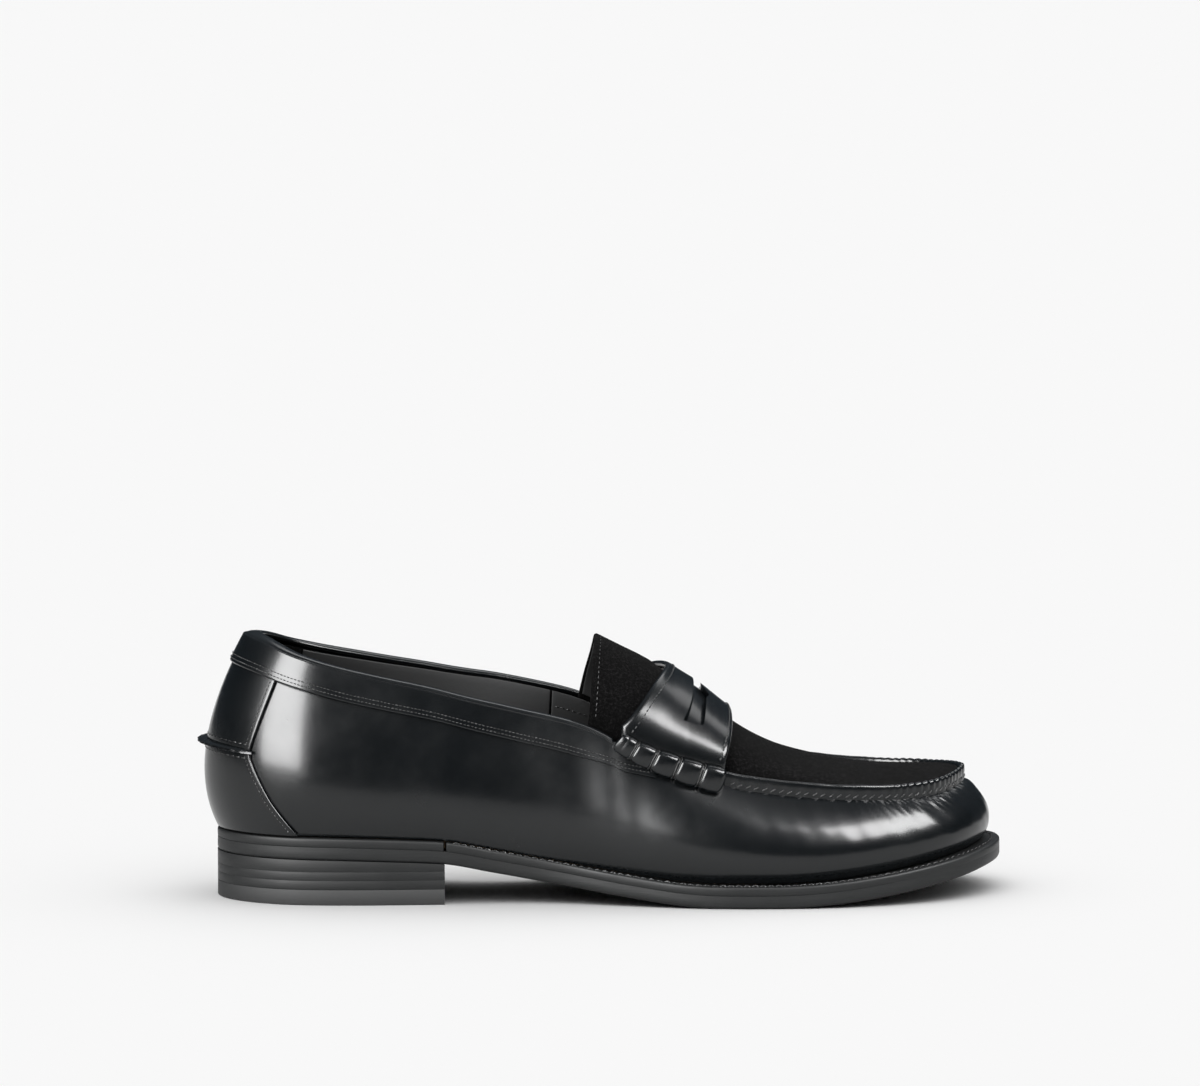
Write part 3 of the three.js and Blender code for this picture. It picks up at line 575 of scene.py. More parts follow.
def build_stage():
    """A pale floor that ends short in front, so that the polish is dark above its reflection."""
    floor_mesh = bpy.data.meshes.new("floor")
    reach, front = 40.0, 0.62
    floor_mesh.from_pydata([(-reach, -front, 0), (reach, -front, 0), (reach, reach, 0), (-reach, reach, 0)],
                           [], [(0, 1, 2, 3)])
    floor = bpy.data.objects.new("floor", floor_mesh)
    bpy.context.scene.collection.objects.link(floor)
    material, tree, shader = new_material("pale_floor")
    shader.inputs["Base Color"].default_value = grey(FLOOR_SHADE)
    shader.inputs["Roughness"].default_value = 1.0
    shader.inputs["Specular IOR Level"].default_value = 0.0
    floor_mesh.materials.append(material)
    softbox("heel_side_light", (-0.93, -1.03, 0.66), (-0.1, 0, 0.06), (0.95, 1.15), 19.0)
    softbox("toe_side_light", (0.83, -0.6, 0.9), (0.1, 0, 0.04), (0.9, 0.56), 20.0)
    softbox("back_light", (0.45, 0.75, 1.1), (0.02, 0, 0.06), (1.0, 0.5), 2.0)
    world = bpy.data.worlds.new("studio")
    bpy.context.scene.world = world
    world.use_nodes = True
    tree = world.node_tree
    background = tree.nodes["Background"]
    ray = node(tree, "ShaderNodeLightPath")
    place = node(tree, "ShaderNodeTexCoord").outputs["Generated"]
    height = node(tree, "ShaderNodeSeparateXYZ", {"Vector": place}).outputs["Z"]
    # Sky for soft light: strongest overhead, and as bright on the floor as the backdrop.
    power = 2.0
    zenith = BACKDROP / FLOOR_SHADE * (power + 2) / 2
    above = node(tree, "ShaderNodeMath", {0: height, 1: 0.0}, operation="MAXIMUM").outputs[0]
    lifted = node(tree, "ShaderNodeMath", {0: above, 1: power}, operation="POWER").outputs[0]
    sky = node(tree, "ShaderNodeMath", {0: lifted, 1: zenith}, operation="MULTIPLY").outputs[0]
    # What the polish sees: a dim room, lighter overhead.
    room = ramp(tree, height, [(0.0, (0.035, 0.042, 0.05, 1)), (0.3, (0.04, 0.05, 0.06, 1)),
                                (0.6, (0.11, 0.13, 0.15, 1)), (1.0, (0.2, 0.22, 0.24, 1))])
    seen = mix_colours(tree, ray.outputs["Is Glossy Ray"], sky, room)
    seen = mix_colours(tree, ray.outputs["Is Camera Ray"], seen, grey(BACKDROP))
    tree.links.new(seen, background.inputs["Color"])
    bpy.context.scene.view_settings.view_transform = "Standard"


# ---- Sole and heel ----
TOE_CORNER = 1.5
HEEL_CORNER = HEEL - 1.5


def coons(left, right, front, back):
    a, b, c, d = left(np.array(0.0)), right(np.array(0.0)), left(np.array(1.0)), right(np.array(1.0))

    def surface(u, v):
        u1, v1 = u[..., None], v[..., None]
        return ((1 - v1) * left(u) + v1 * right(u) + (1 - u1) * front(v) + u1 * back(v)
                - (1 - u1) * (1 - v1) * a - (1 - u1) * v1 * b - u1 * (1 - v1) * c - u1 * v1 * d)
    return surface


def whole_plan(outline):
    def side(u):
        return lerp(TOE_CORNER, HEEL_CORNER, u)
    return coons(lambda u: outline(side(u)), lambda u: outline(-side(u)),
                 lambda v: outline(TOE_CORNER * (1 - 2 * v)),
                 lambda v: outline(lerp(HEEL_CORNER, AROUND - HEEL_CORNER, v)))


def heel_plan(outline, x):
    stations = np.linspace(0, HEEL, 3001)
    breast = stations[np.argmin(np.abs(outline(stations)[:, 0] - x))]

    def side(u):
        return lerp(breast, HEEL_CORNER, u)
    start, end = outline(np.array(breast)), outline(np.array(-breast))
    hollow = 2.0                 # the breast curves in a little
    return coons(lambda u: outline(side(u)), lambda u: outline(-side(u)),
                 lambda v: lerp(start, end, v[..., None]) - stack(hollow * 4 * v * (1 - v), 0 * v, 0 * v),
                 lambda v: outline(lerp(HEEL_CORNER, AROUND - HEEL_CORNER, v)))


def plate(name, plan_of, rim_profile, counts, material, replaces):
    """A flat piece of the sole. rim_profile lists (inset, height function) up its side, from the
    bottom face to the top face; plan_of(inset) gives the plan of the outline moved in that far."""
    nu, nv = counts
    u, v = np.meshgrid(np.linspace(0, 1, nu), np.linspace(0, 1, nv), indexing="ij")
    rim = ([(i, 0) for i in range(nu)] + [(nu - 1, j) for j in range(1, nv)]
           + [(i, nv - 1) for i in range(nu - 2, -1, -1)] + [(0, j) for j in range(nv - 2, 0, -1)])
    ri, rj = np.array(rim).T
    layers = []
    for inset, height in rim_profile:
        flat = plan_of(inset)(u, v)
        flat[..., 2] = height(flat[..., 0])
        layers.append(flat)
    size = nu * nv
    points = [layers[0].reshape(-1, 3), layers[-1].reshape(-1, 3)]
    faces = grid_quads(nu, nv, flip=True) + grid_quads(nu, nv, size)
    count = len(rim)
    rings = [ri * nv + rj]
    start = 2 * size
    for layer in layers[1:-1]:
        points.append(layer[ri, rj])
        rings.append(start + np.arange(count))
        start += count
    rings.append(size + ri * nv + rj)
    for below, above in zip(rings[:-1], rings[1:]):
        following = np.roll(np.arange(count), -1)
        faces += np.stack([below, below[following], above[following], above], axis=1).tolist()
    return make(name, np.concatenate(points), faces, material, "shoe", replaces, 50)


def raised(height, extra):
    return lambda x: height(x) + extra


def build_heel():
    def plan_of(inset):
        return heel_plan(lambda s: plan_point(s, extension_at(foot_x(s)) - inset), HEEL_LENGTH)

    def block(name, bottom, top, material, soft=0.35):
        rims = [(soft, bottom), (soft * 0.3, raised(bottom, soft * 0.3)), (0.0, raised(bottom, soft)),
                (0.0, raised(top, -soft)), (soft * 0.3, raised(top, -soft * 0.3)), (soft, top)]
        plate(name, plan_of, rims, (46, 40), material, (name,))

    def level(z):
        return lambda x: z + 0 * x

    hair = 0.02
    block("heel_top_piece", level(0), level(TOP_PIECE - 0.1), RUBBER, 0.25)
    for k in range(3):
        bottom = TOP_PIECE + k * LIFT
        top = level(bottom + LIFT - hair) if k < 2 else raised(under_sole, -hair)
        block(f"heel_lift_{k + 1}", level(bottom), top, EDGE, 0.03)


WELT_INNER = -3.0                # the welt's inner side, in from the foot's outline


def build_sole():
    def edge(inset):
        return lambda s: plan_point(s, extension_at(foot_x(s)) - inset)

    top = raised(under_sole, OUTSOLE)
    rims = [(1.2, under_sole), (0.35, raised(under_sole, 0.3)), (0.0, raised(under_sole, 1.2)),
            (0.0, raised(under_sole, 3.2)), (0.08, raised(top, -0.12)), (0.3, top)]
    plate("outsole", lambda inset: whole_plan(edge(inset)), rims, (220, 40), EDGE, ("outsole",))
    breast = float(station_where(foot_x, HEEL_LENGTH))
    for name, first, last, count in (("welt", -breast + 0.02, breast - 0.02, 420),
                                     ("heel_rand", breast + 0.02, AROUND - breast - 0.02, 160)):
        s = np.linspace(first, last, count)
        bottom, height = under_sole(foot_x(s)) + OUTSOLE + 0.03, WELT + SEAM - 0.03
        profile = [(0.25, 0.0), (0.0, 0.2), (0.0, 0.72), (0.12, 0.9), (0.45, 1.0), (1.6, 1.0), (3.2, 0.985)]

        def bar_line(distance, up):
            return plan_point(s, distance) + stack(0 * s, 0 * s, bottom + height * up)
        section = [bar_line(extension_at(foot_x(s)) - inset, up) for inset, up in profile]
        section += [bar_line(WELT_INNER + 0 * s, up) for up in (0.97, 0.0)]
        sweep(name, np.stack(section, axis=1), EDGE, "shoe", (name,), smooth_angle=50)


# ---- Upper ----
BAND_END = 6.45
BAND_THICK = 1.1
ROLL_START = 7.5
BEAD_START = ROLL_START + 0.6
BEAD_DROP = 2 * BEAD + SEAM
PANEL_OUT = 1.5
PANEL_SPLIT = 0.45
SEAM_END = 5.0


def set_back(s):
    s = np.abs(s)
    return np.where(s > HEEL, AROUND - s, s)


def top_of_wall(s, drop=0.0):
    bound = smooth((set_back(s) - ROLL_START) / (BEAD_START - ROLL_START))
    return share_below_top(s, lerp(drop, BEAD_DROP, bound))


# Arc length along the plug seam, for its stitches and puckers.
seam_stations = np.linspace(-SEAM_END - 1, SEAM_END + 1, 1201)
seam_lengths = path_lengths(top_edge(seam_stations))
STITCH_PITCH = 6.3


def seam_place(s):
    return np.interp(s, seam_stations, seam_lengths)


def gather(s):
    """How strongly the leather is gathered into the plug seam: most round the toe."""
    return lerp(0.18, 1.0, smooth((4.6 - np.abs(s)) / 2.2)) * smooth((SEAM_END + 0.3 - np.abs(s)) / 0.4)


def seam_phase(s):
    return seam_place(np.clip(s, -SEAM_END - 1, SEAM_END + 1)) / STITCH_PITCH


def uneven(phase, seed):
    """A slow, repeatable wander around zero along a seam."""
    return (np.sin(phase * 1.31 + seed) + 0.7 * np.sin(phase * 2.87 + 2.1 * seed)
            + 0.5 * np.sin(phase * 0.53 + 3.7 * seed)) / 2.2


def vamp_surface(s, v):
    """The wall with short creases under the plug seam's stitches and soft swells below them."""
    s, v = np.broadcast_arrays(np.asarray(s, float), np.asarray(v, float))
    base = wall(s, v)
    below = (1 - v) * wall_length(s)
    phase = seam_phase(s) + 0.035 * below
    nearest = np.round(phase)
    size = gather(s) * (1 + 0.6 * uneven(nearest, 0.4))
    reach = 2.6 + 1.4 * uneven(nearest, 1.9)
    crease = -0.42 * size * np.exp(-((phase - nearest) / 0.10) ** 2) * np.exp(-(below / reach) ** 2)
    puff = 0.20 * size * np.cos(2 * np.pi * phase) ** 2 * np.exp(-((below - 2.5) / 3.0) ** 2)
    waves = uneven(seam_phase(s) * 1.7 + 0.05 * below, 2.6)
    swell = 0.22 * gather(s) * waves * np.exp(-((below - 9) / 8) ** 2)
    on_seam = smooth((SEAM_END + 0.3 - np.abs(s)) / 0.4)
    pull = -0.5 * on_seam * np.exp(-(below / 1.2) ** 2)
    out = normals(wall, s, v)
    return base + out * (crease + puff + swell + pull)[..., None]


def build_vamp():
    crowded = ((0, 0.14, 0.86, 1), (0, 0.33, 0.67, 1))
    whole = edged(-HEEL + 0.03, HEEL - 0.03, 1000, 600, 0.6, crowded)
    rise_line = edged(0, 1, 40, 70, 0.7, ((0, 0.5, 1), (0, 0.74, 1)))
    sheet("vamp", strip_surface(0.0, top_of_wall, vamp_surface), whole, rise_line, -UPPER, 0.0,
          LEATHER, replaces=("vamp",))


def panel_front(v):
    """Station of the back panels' front edge at a share of the wall's height."""
    return np.interp(v, [0, 0.2, 0.42, 0.47, 0.75, 1], [12.75, 13.2, 13.62, 13.64, 13.45, 13.3])


def panel_surface(low, high):
    """A back panel: u from its lateral front edge to its medial one, v up its height."""
    def surface(u, v):
        top = high(u * 0 + HEEL) if callable(high) else high
        share = lerp(low, top, v)
        front = panel_front(share)
        return wall(lerp(front, AROUND - front, u), share)
    return surface


def build_back():
    line = edged(0, 1, 90, 92, 0.5)
    # The binding covers the panel's top, so it ends a little below the topline.
    sheet("back_panel_lower", panel_surface(0.012, PANEL_SPLIT - 0.008), line, edged(0, 1, 20, 32, 0.5),
          SEAM, PANEL_OUT, LEATHER, replaces=("back_panel_lower",))
    sheet("back_panel_upper", panel_surface(PANEL_SPLIT + 0.008, 0.955), line, edged(0, 1, 22, 38, 0.5),
          SEAM, PANEL_OUT, LEATHER, replaces=("back_panel_upper",))


def heel_ridge_centre(u, d):
    front = float(panel_front(PANEL_SPLIT)) - 0.05
    return offset(wall, lerp(front, AROUND - front, u), PANEL_SPLIT + 0 * u, d)


def build_heel_ridge():
    u = np.linspace(0, 1, 150)
    end = smooth(np.minimum(u, 1 - u) / 0.06)
    ripple = 1 + 0.05 * np.cos(2 * np.pi * u * 15) * end
    proud = (0.9 + 3.0 * end * smooth(np.minimum(u, 1 - u) / 0.4 + 0.3)) * ripple
    root = heel_ridge_centre(u, PANEL_OUT - 0.35 + 0 * u)
    out = unit(heel_ridge_centre(u, PANEL_OUT + 1 + 0 * u) - root)
    up = np.array([0, 0, 1.0])
    half = (0.95 * (0.55 + 0.45 * end))[:, None]
    section = []
    for across, along in ((-1, 0), (-1, 0.45), (-0.78, 0.8), (-0.35, 0.98), (0.05, 0.86), (0.3, 0.98),
                          (0.8, 0.82), (1, 0.5), (1, 0)):
        droop = -0.5 * along ** 2
        section.append(root + out * (proud * along)[:, None] + up * (across * half + droop))
    sweep("heel_seam_ridge", np.stack(section, axis=1), LEATHER, "shoe", ("heel_seam_ridge",),
          smooth_angle=60)


def band_top(s):
    return share_below_top(s, lerp(1.4, 1.7, smooth((set_back(s) - ROLL_START) / 0.6)))


def band_inner(s):
    step = smooth((set_back(s) - 11.5) / 1.7)
    return lerp(SEAM, PANEL_OUT + 0.1, step)


def build_collar():
    surface = strip_surface(lambda s: share_below_top(s, band_depth(set_back(s))), lambda s: band_top(s))
    ends = edged(BAND_END, AROUND - BAND_END, 420, 330, 0.5)
    sheet("collar_band", surface, ends, edged(0, 1, 14, 10, 0.5), band_inner,
          lambda s: band_inner(s) + BAND_THICK, LEATHER, replaces=("collar_band",))
    s = np.linspace(BEAD_START - 0.35, AROUND - BEAD_START + 0.35, 420)
    out = outward_at(s)
    thick = (band_inner(s) + BAND_THICK - LINING_IN) / 2 + 0.2
    centre = top_edge(s) + out * ((band_inner(s) + BAND_THICK + LINING_IN) / 2)[:, None]
    centre[:, 2] -= BEAD + 0.25
    ring = []
    for angle in np.linspace(0, 2 * np.pi, 16, endpoint=False):
        across, up = np.cos(angle), np.sin(angle)
        across = np.sign(across) * abs(across) ** 0.8
        ring.append(centre + out * (across * thick)[:, None] + stack(0, 0, (BEAD + 0.25) * up + 0 * s))
    sweep("topline_binding", np.stack(ring, axis=1), LEATHER, "shoe", ("topline_binding",), smooth_angle=80)


LINING_JOINT = 9.2               # the station where the vamp lining meets the quarter linings


def build_linings():
    grip = HEEL - 2.1
    pieces = (("vamp_lining", -LINING_JOINT, LINING_JOINT, LINING),
              ("quarter_lining_lateral", LINING_JOINT + 0.03, grip, LINING),
              ("quarter_lining_medial", AROUND - grip, AROUND - LINING_JOINT - 0.03, LINING),
              ("heel_grip", grip + 0.03, AROUND - grip - 0.03, SUEDE))
    surface = strip_surface(0.03, lambda s: top_of_wall(s, 2.0))
    for name, first, last, material in pieces:
        line = edged(first, last, int(26 * (last - first)), 22 * (last - first), 0.4)
        sheet(name, surface, line, edged(0, 1, 24, 66, 0.4), LINING_IN, LINING_OUT, material,
              replaces=(name,))


def build_footbed():
    def inside(distance):
        return lambda s: plan_point(s, -distance)

    base = raised(welt_top, SEAM)

    def bed(name, plan_of, bottom, top, counts, material):
        soft = 0.35
        rims = [(0.0, bottom), (0.0, raised(top, -soft)),
                (soft * 0.3, raised(top, -soft * 0.3)), (soft, top)]
        plate(name, plan_of, rims, counts, material, (name,))

    bed("insole", lambda d: whole_plan(inside(4.1 + d)), base, raised(base, 2.5), (120, 24),
        inner_board("insole_board", *BOARD_LOOK))
    bed("sock_lining", lambda d: whole_plan(inside(4.4 + d)), raised(base, 2.8), raised(base, 3.8),
        (120, 24), LINING)
    bed("heel_pad", lambda d: heel_plan(inside(6.8 + d), 0.9 * HEEL_LENGTH), raised(base, 4.1),
        raised(base, 6.4), (40, 34), LINING)


# ---- Plug, tongue and strap ----
def arch(lateral, medial, crown, w):
    """Half arches from the crown (w = 0) down to the lateral (-1) and medial (1) feet."""
    t = np.abs(w)[..., None]
    foot = np.where((w < 0)[..., None], lateral, medial)

    def at(across, up):
        return np.concatenate([lerp(crown[..., :2], foot[..., :2], across),
                               lerp(foot[..., 2:], crown[..., 2:], up)], axis=-1)
    r = 1 - t
    return (r ** 3 * at(0, 1) + 3 * r * r * t * at(0.44, 0.97) + 3 * r * t * t * at(0.95, 0.5)
            + t ** 3 * at(1, 0))


HINGE_X = 163.5
PLUG_INSET = UPPER / 2 + RIDGE_WIDTH / 2 + SEAM
PLUG_REAR = 6.15
PLUG_TOE_CORNER = 1.3


def plug_edge(s):
    beside_roll = ROLL * smooth((np.abs(s) - SEAM_END) / 0.5)
    point = top_edge(s) - outward_at(s) * (PLUG_INSET - 0.25 + beside_roll)[..., None]
    point[..., 2] += SEAM + 0.72 * RIDGE_HEIGHT
    return point


def plug_side(u):
    return lerp(PLUG_TOE_CORNER, PLUG_REAR, u)


def plug_section(u, x, v):
    lateral, medial = plug_edge(plug_side(u)), plug_edge(-plug_side(u))
    crown = stack(x, (lateral[..., 1] + medial[..., 1]) / 2, crown_z(x))
    return arch(lateral, medial, crown, 2 * v - 1)


plug_patch = coons(lambda u: plug_edge(plug_side(u)), lambda u: plug_edge(-plug_side(u)),
                   lambda v: plug_edge(PLUG_TOE_CORNER * (1 - 2 * v)),
                   lambda v: plug_section(np.ones_like(v), HINGE_X + 0.4 + 0 * v, v))


def plug_surface(u, v):
    point = plug_patch(u, v)
    centre = plug_patch(u, 0 * v + 0.5)
    share = 1 - (2 * v - 1) ** 2
    point[..., 2] += share * (crown_z(centre[..., 0]) - centre[..., 2]) * smooth(u * 6)
    blend = smooth((u - 0.25) / 0.35)[..., None]
    return lerp(point, plug_section(u, centre[..., 0], v), blend)


def build_plug():
    sheet("plug", plug_surface, edged(0.0, 0.93, 200, 110, 0.8), edged(0.0, 1.0, 120, 78, 0.8),
          -1.6, 0.0, SUEDE, replaces=("plug",))


def toe_share(s):
    """How far round towards the toe a place on the plug seam lies, from 0 along the sides to 1."""
    return smooth((3.1 - np.abs(s)) / 1.3)


def build_seam_ridge():
    """The raised seam round the plug: two edges of leather turned up and sewn together."""
    s = np.linspace(-SEAM_END - 0.2, SEAM_END + 0.2, 1300)
    out = outward_at(s)
    phase = seam_phase(s)
    folds = phase * 2 + 0.15 * uneven(phase, 0.9)
    pleat = toe_share(s) * (0.17 + 0.10 * uneven(np.round(phase), 1.1)) * np.cos(2 * np.pi * folds)
    crest = 0.10 * uneven(phase * 1.6, 0.7) + toe_share(s) * 0.15 * np.cos(2 * np.pi * folds + 0.7)
    bite = -0.30 * np.exp(-((phase - np.round(phase)) / 0.14) ** 2)
    base = top_edge(s) + out * (-UPPER / 2)
    half = RIDGE_WIDTH / 2
    section = []
    for side, up, follows, bitten in ((1.0, -0.35, 0.0, 1), (1.0, 0.03, 0.1, 1), (1.0, 0.14, 0.3, 0.9),
                                      (1.02, 0.3, 0.8, 0.2), (1.03, 0.5, 1.0, 0), (1.0, 0.72, 1.0, 0),
                                      (0.9, 0.88, 0.9, 0), (0.66, 0.97, 0.7, 0), (0.3, 1.0, 0.5, 0),
                                      (-0.1, 1.0, 0.3, 0), (-0.5, 0.95, 0.1, 0), (-0.85, 0.84, 0.0, 0),
                                      (-1.0, 0.65, 0.0, 0), (-1.0, -0.05, 0.0, 0)):
        point = base + out * (side * half + pleat * follows + bite * bitten)[:, None]
        point[:, 2] += SEAM + RIDGE_HEIGHT * up + crest * max(up, 0)
        section.append(point)
    sweep("plug_seam_ridge", np.stack(section, axis=1), LEATHER, "shoe", ("plug_seam_ridge",),
          smooth_angle=70)


TONGUE_REAR = 142.5
TONGUE_CURL = 4.5


def tongue_surface(u, w):
    x = lerp(HINGE_X, TONGUE_REAR - TONGUE_CURL * w * w, u)
    s = station_where(top_x, x)

    def foot(station):
        point = top_edge(station) - outward_at(station) * (3.8 + 2.4)
        point[..., 0] = x
        point[..., 2] = welt_top(foot_x(station)) + 0.9 * rise(station) + 3
        return point
    lateral, medial = foot(s), foot(-s)
    crown = stack(x, (lateral[..., 1] + medial[..., 1]) / 2, crown_z(x))
    return arch(lateral, medial, crown, w)


TONGUE_UNDER = -0.38             # how far the tongue runs on forward under the strap


def wavy_tongue(u, w):
    """The tongue, its suede a little wavy towards the free edge."""
    point = tongue_surface(u, w)
    free = smooth((u - 0.35) / 0.65)
    point[..., 0] += 0.5 * free * np.sin(4.3 * w + 0.6)
    point[..., 2] += 0.35 * free * np.sin(6.1 * w + 1.0) + 0.2 * free * np.sin(11 * w)
    return point


def build_tongue():
    tongue = sheet("tongue", wavy_tongue, edged(TONGUE_UNDER, 1, 56, 30, 0.9),
                   edged(-0.98, 0.98, 110, 90, 0.8), -1.7, 0.1, SUEDE, None, ("tongue",))
    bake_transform(tongue)
    sheet("tongue_lining", wavy_tongue, edged(0.06, 0.96, 24, 22, 0.4),
          edged(-0.92, 0.92, 60, 80, 0.4), -2.9, -1.9, LINING, "tongue", ("tongue_lining",))


SADDLE_INSET = 3.0
SADDLE_LIFT = 2 * ROLL + 2 * SEAM
STRAP_IN = 1.9
STRAP_OUT = 3.9


def saddle(x, w):
    s = station_where(top_x, x)

    def foot(station):
        point = top_edge(station) - outward_at(station) * SADDLE_INSET
        point[..., 0] = x
        point[..., 2] += SADDLE_LIFT
        return point
    lateral, medial = foot(s), foot(-s)
    crown = stack(x, (lateral[..., 1] + medial[..., 1]) / 2, crown_z(x))
    return arch(lateral, medial, crown, w)


def strap_surface(u, w):
    rear = lerp(168, 151, np.minimum(np.abs(w), 1) ** 1.6)
    fore = lerp(192.3, 189.5, np.minimum(np.abs(w), 1) ** 2)
    return saddle(lerp(fore, rear, u), w)


SLOT_SPAN = 0.86                 # share of each half of the strap that the slot runs down
STRAP_REACH = 1.1                # the strap's ends run on into the beefrolls


def slot_outline():
    """The strap's slot from above: rear edge, rounded ends, and a front edge with a middle tab."""
    share = np.sin(np.linspace(-np.pi / 2, np.pi / 2, 121))
    w = share * SLOT_SPAN
    rear = 179.9 - 6.0 * share ** 2
    fore = 184.3 - 3.0 * share ** 2
    tab = 1.5 * np.exp(-(share / 0.13) ** 4) - 1.2 * np.exp(-((np.abs(share) - 0.25) / 0.08) ** 2)
    fore = fore - tab
    tip = np.clip((np.abs(share) - 0.9) / 0.1, 0, 1)
    fore = lerp(rear + 0.3, fore, np.sqrt(1 - tip ** 2))
    return np.concatenate([np.stack([rear, saddle(rear, w)[:, 1]], axis=1),
                           np.stack([fore, saddle(fore, w)[:, 1]], axis=1)[::-1]])


def strap_inside(u):
    """The strap is folded at its rear edge, so it is thicker there."""
    return STRAP_IN - 0.8 * smooth((u - 0.9) / 0.06)


def build_strap():
    strap = sheet("saddle_strap", strap_surface, edged(0, 1, 60, 30, 1.3),
                  edged(-STRAP_REACH, STRAP_REACH, 220, 118, 0.6), strap_inside, STRAP_OUT, LEATHER,
                  replaces=("saddle_strap",))
    outline = slot_outline()
    count = len(outline)
    points = [np.column_stack([outline, np.full(count, z)]) for z in (40, 140)]
    faces = [[k, (k + 1) % count, (k + 1) % count + count, k + count] for k in range(count)]
    faces += [list(range(count))[::-1], list(range(count, 2 * count))]
    cutter_mesh = bpy.data.meshes.new("slot_cutter")
    cutter_mesh.from_pydata(((np.concatenate(points) + SHIFT) * MM).tolist(), [], faces)
    cutter = bpy.data.objects.new("slot_cutter", cutter_mesh)
    bpy.context.scene.collection.objects.link(cutter)
    if signed_volume(cutter_mesh) < 0:
        cutter_mesh.flip_normals()
    cut = strap.modifiers.new("slot", "BOOLEAN")
    cut.object = cutter
    cut.operation = "DIFFERENCE"
    cut.solver = "EXACT"
    apply_modifiers(strap)
    bpy.data.objects.remove(cutter)
    strap.data.set_sharp_from_angle(angle=math.radians(35))
    sheet("strap_lining", strap_surface, edged(0.05, 0.93, 40, 27, 0.4), edged(-1.05, 1.05, 120, 110, 0.4),
          0.75, 1.75, LEATHER, replaces=("strap_lining",))


def apply_modifiers(piece):
    """Makes a piece's modifiers part of its mesh."""
    evaluated = piece.evaluated_get(bpy.context.evaluated_depsgraph_get())
    mesh = bpy.data.meshes.new_from_object(evaluated)
    old = piece.data
    piece.modifiers.clear()
    piece.data = mesh
    bpy.data.meshes.remove(old)


# ---- Beefrolls ----
ROLL_REAR, ROLL_FORE = 150.0, 189.0
WRAPS = (0.235, 0.43, 0.625, 0.82)      # places of the thread wraps along a roll
WRAP_LEAN = 0.005                # how far a wrap's top lies ahead of its foot
ROLL_OUT = 2.6                   # the roll's middle, out from the topline
ROLL_DEPTH, ROLL_TALL = 0.8, 1.06
SQUARENESS = 0.62


def roll_centre(sign, u):
    first, last = station_where(top_x, np.array([ROLL_REAR, ROLL_FORE]))
    s = lerp(first, last, u)
    centre = top_edge(sign * s) + outward_at(sign * s) * ROLL_OUT
    centre[..., 2] += 1.08 * ROLL + SEAM - lerp(2.0, 3.2, u)
    return centre


def roll_size(u):
    """Half height of a roll: pinched at the wraps, and a little fuller towards the front."""
    stops = np.array((-0.02,) + WRAPS + (1.0,))
    gap = np.min(np.abs(u[..., None] - stops), axis=-1)
    pinch = np.exp(-(gap / 0.018) ** 2)
    puff = 0.97 + 0.05 * np.exp(-(gap - 0.09) ** 2 / 0.002)
    return ROLL * lerp(0.95, 1.3, u) * (1 - 0.17 * pinch) * puff


def squared(angle):
    """Cosine and sine for a round section with flattened sides."""
    c, s = np.cos(angle), np.sin(angle)
    return np.sign(c) * np.abs(c) ** SQUARENESS, np.sign(s) * np.abs(s) ** SQUARENESS


def on_roll(sign, at, size, c, s):
    """Points on a roll's section at the shares of its length in at."""
    along = unit(roll_centre(sign, at + 0.01) - roll_centre(sign, at - 0.01))
    across = unit(np.cross(np.array([0, 0, 1.0]), along))
    up = np.cross(along, across)
    return (roll_centre(sign, at) + across * (ROLL_DEPTH * size * c)[:, None]
            + up * (ROLL_TALL * size * s)[:, None])


def build_rolls():
    ends = np.array([0.001, 0.008, 0.02])
    u = np.concatenate([[0], ends, np.linspace(0.03, 0.97, 190), 1 - ends[::-1], [1]])
    taper = np.concatenate([[0.55, 0.72, 0.88, 0.96], np.ones(190), [0.97, 0.9, 0.78, 0.62]])
    for side, sign in (("lateral", 1), ("medial", -1)):
        ring = []
        for angle in np.linspace(0, 2 * np.pi, 40, endpoint=False):
            c, s = squared(angle)
            at = np.clip(u + WRAP_LEAN * s, 0, 1)
            ring.append(on_roll(sign, at, roll_size(u) * taper, c, s))
        sweep(f"beefroll_{side}", np.stack(ring, axis=1), LEATHER, "shoe", (f"beefroll_{side}",),
              smooth_angle=60)


# ---- Thread ----
def node_group(name):
    """An empty Geometry Nodes group that takes and gives geometry."""
    group = bpy.data.node_groups.new(name, "GeometryNodeTree")
    group.interface.new_socket("Geometry", in_out="INPUT", socket_type="NodeSocketGeometry")
    group.interface.new_socket("Geometry", in_out="OUTPUT", socket_type="NodeSocketGeometry")
    return group


def named_input(group, name, kind, value):
    socket = group.interface.new_socket(name, in_out="INPUT", socket_type=kind)
    if value is not None:
        socket.default_value = value


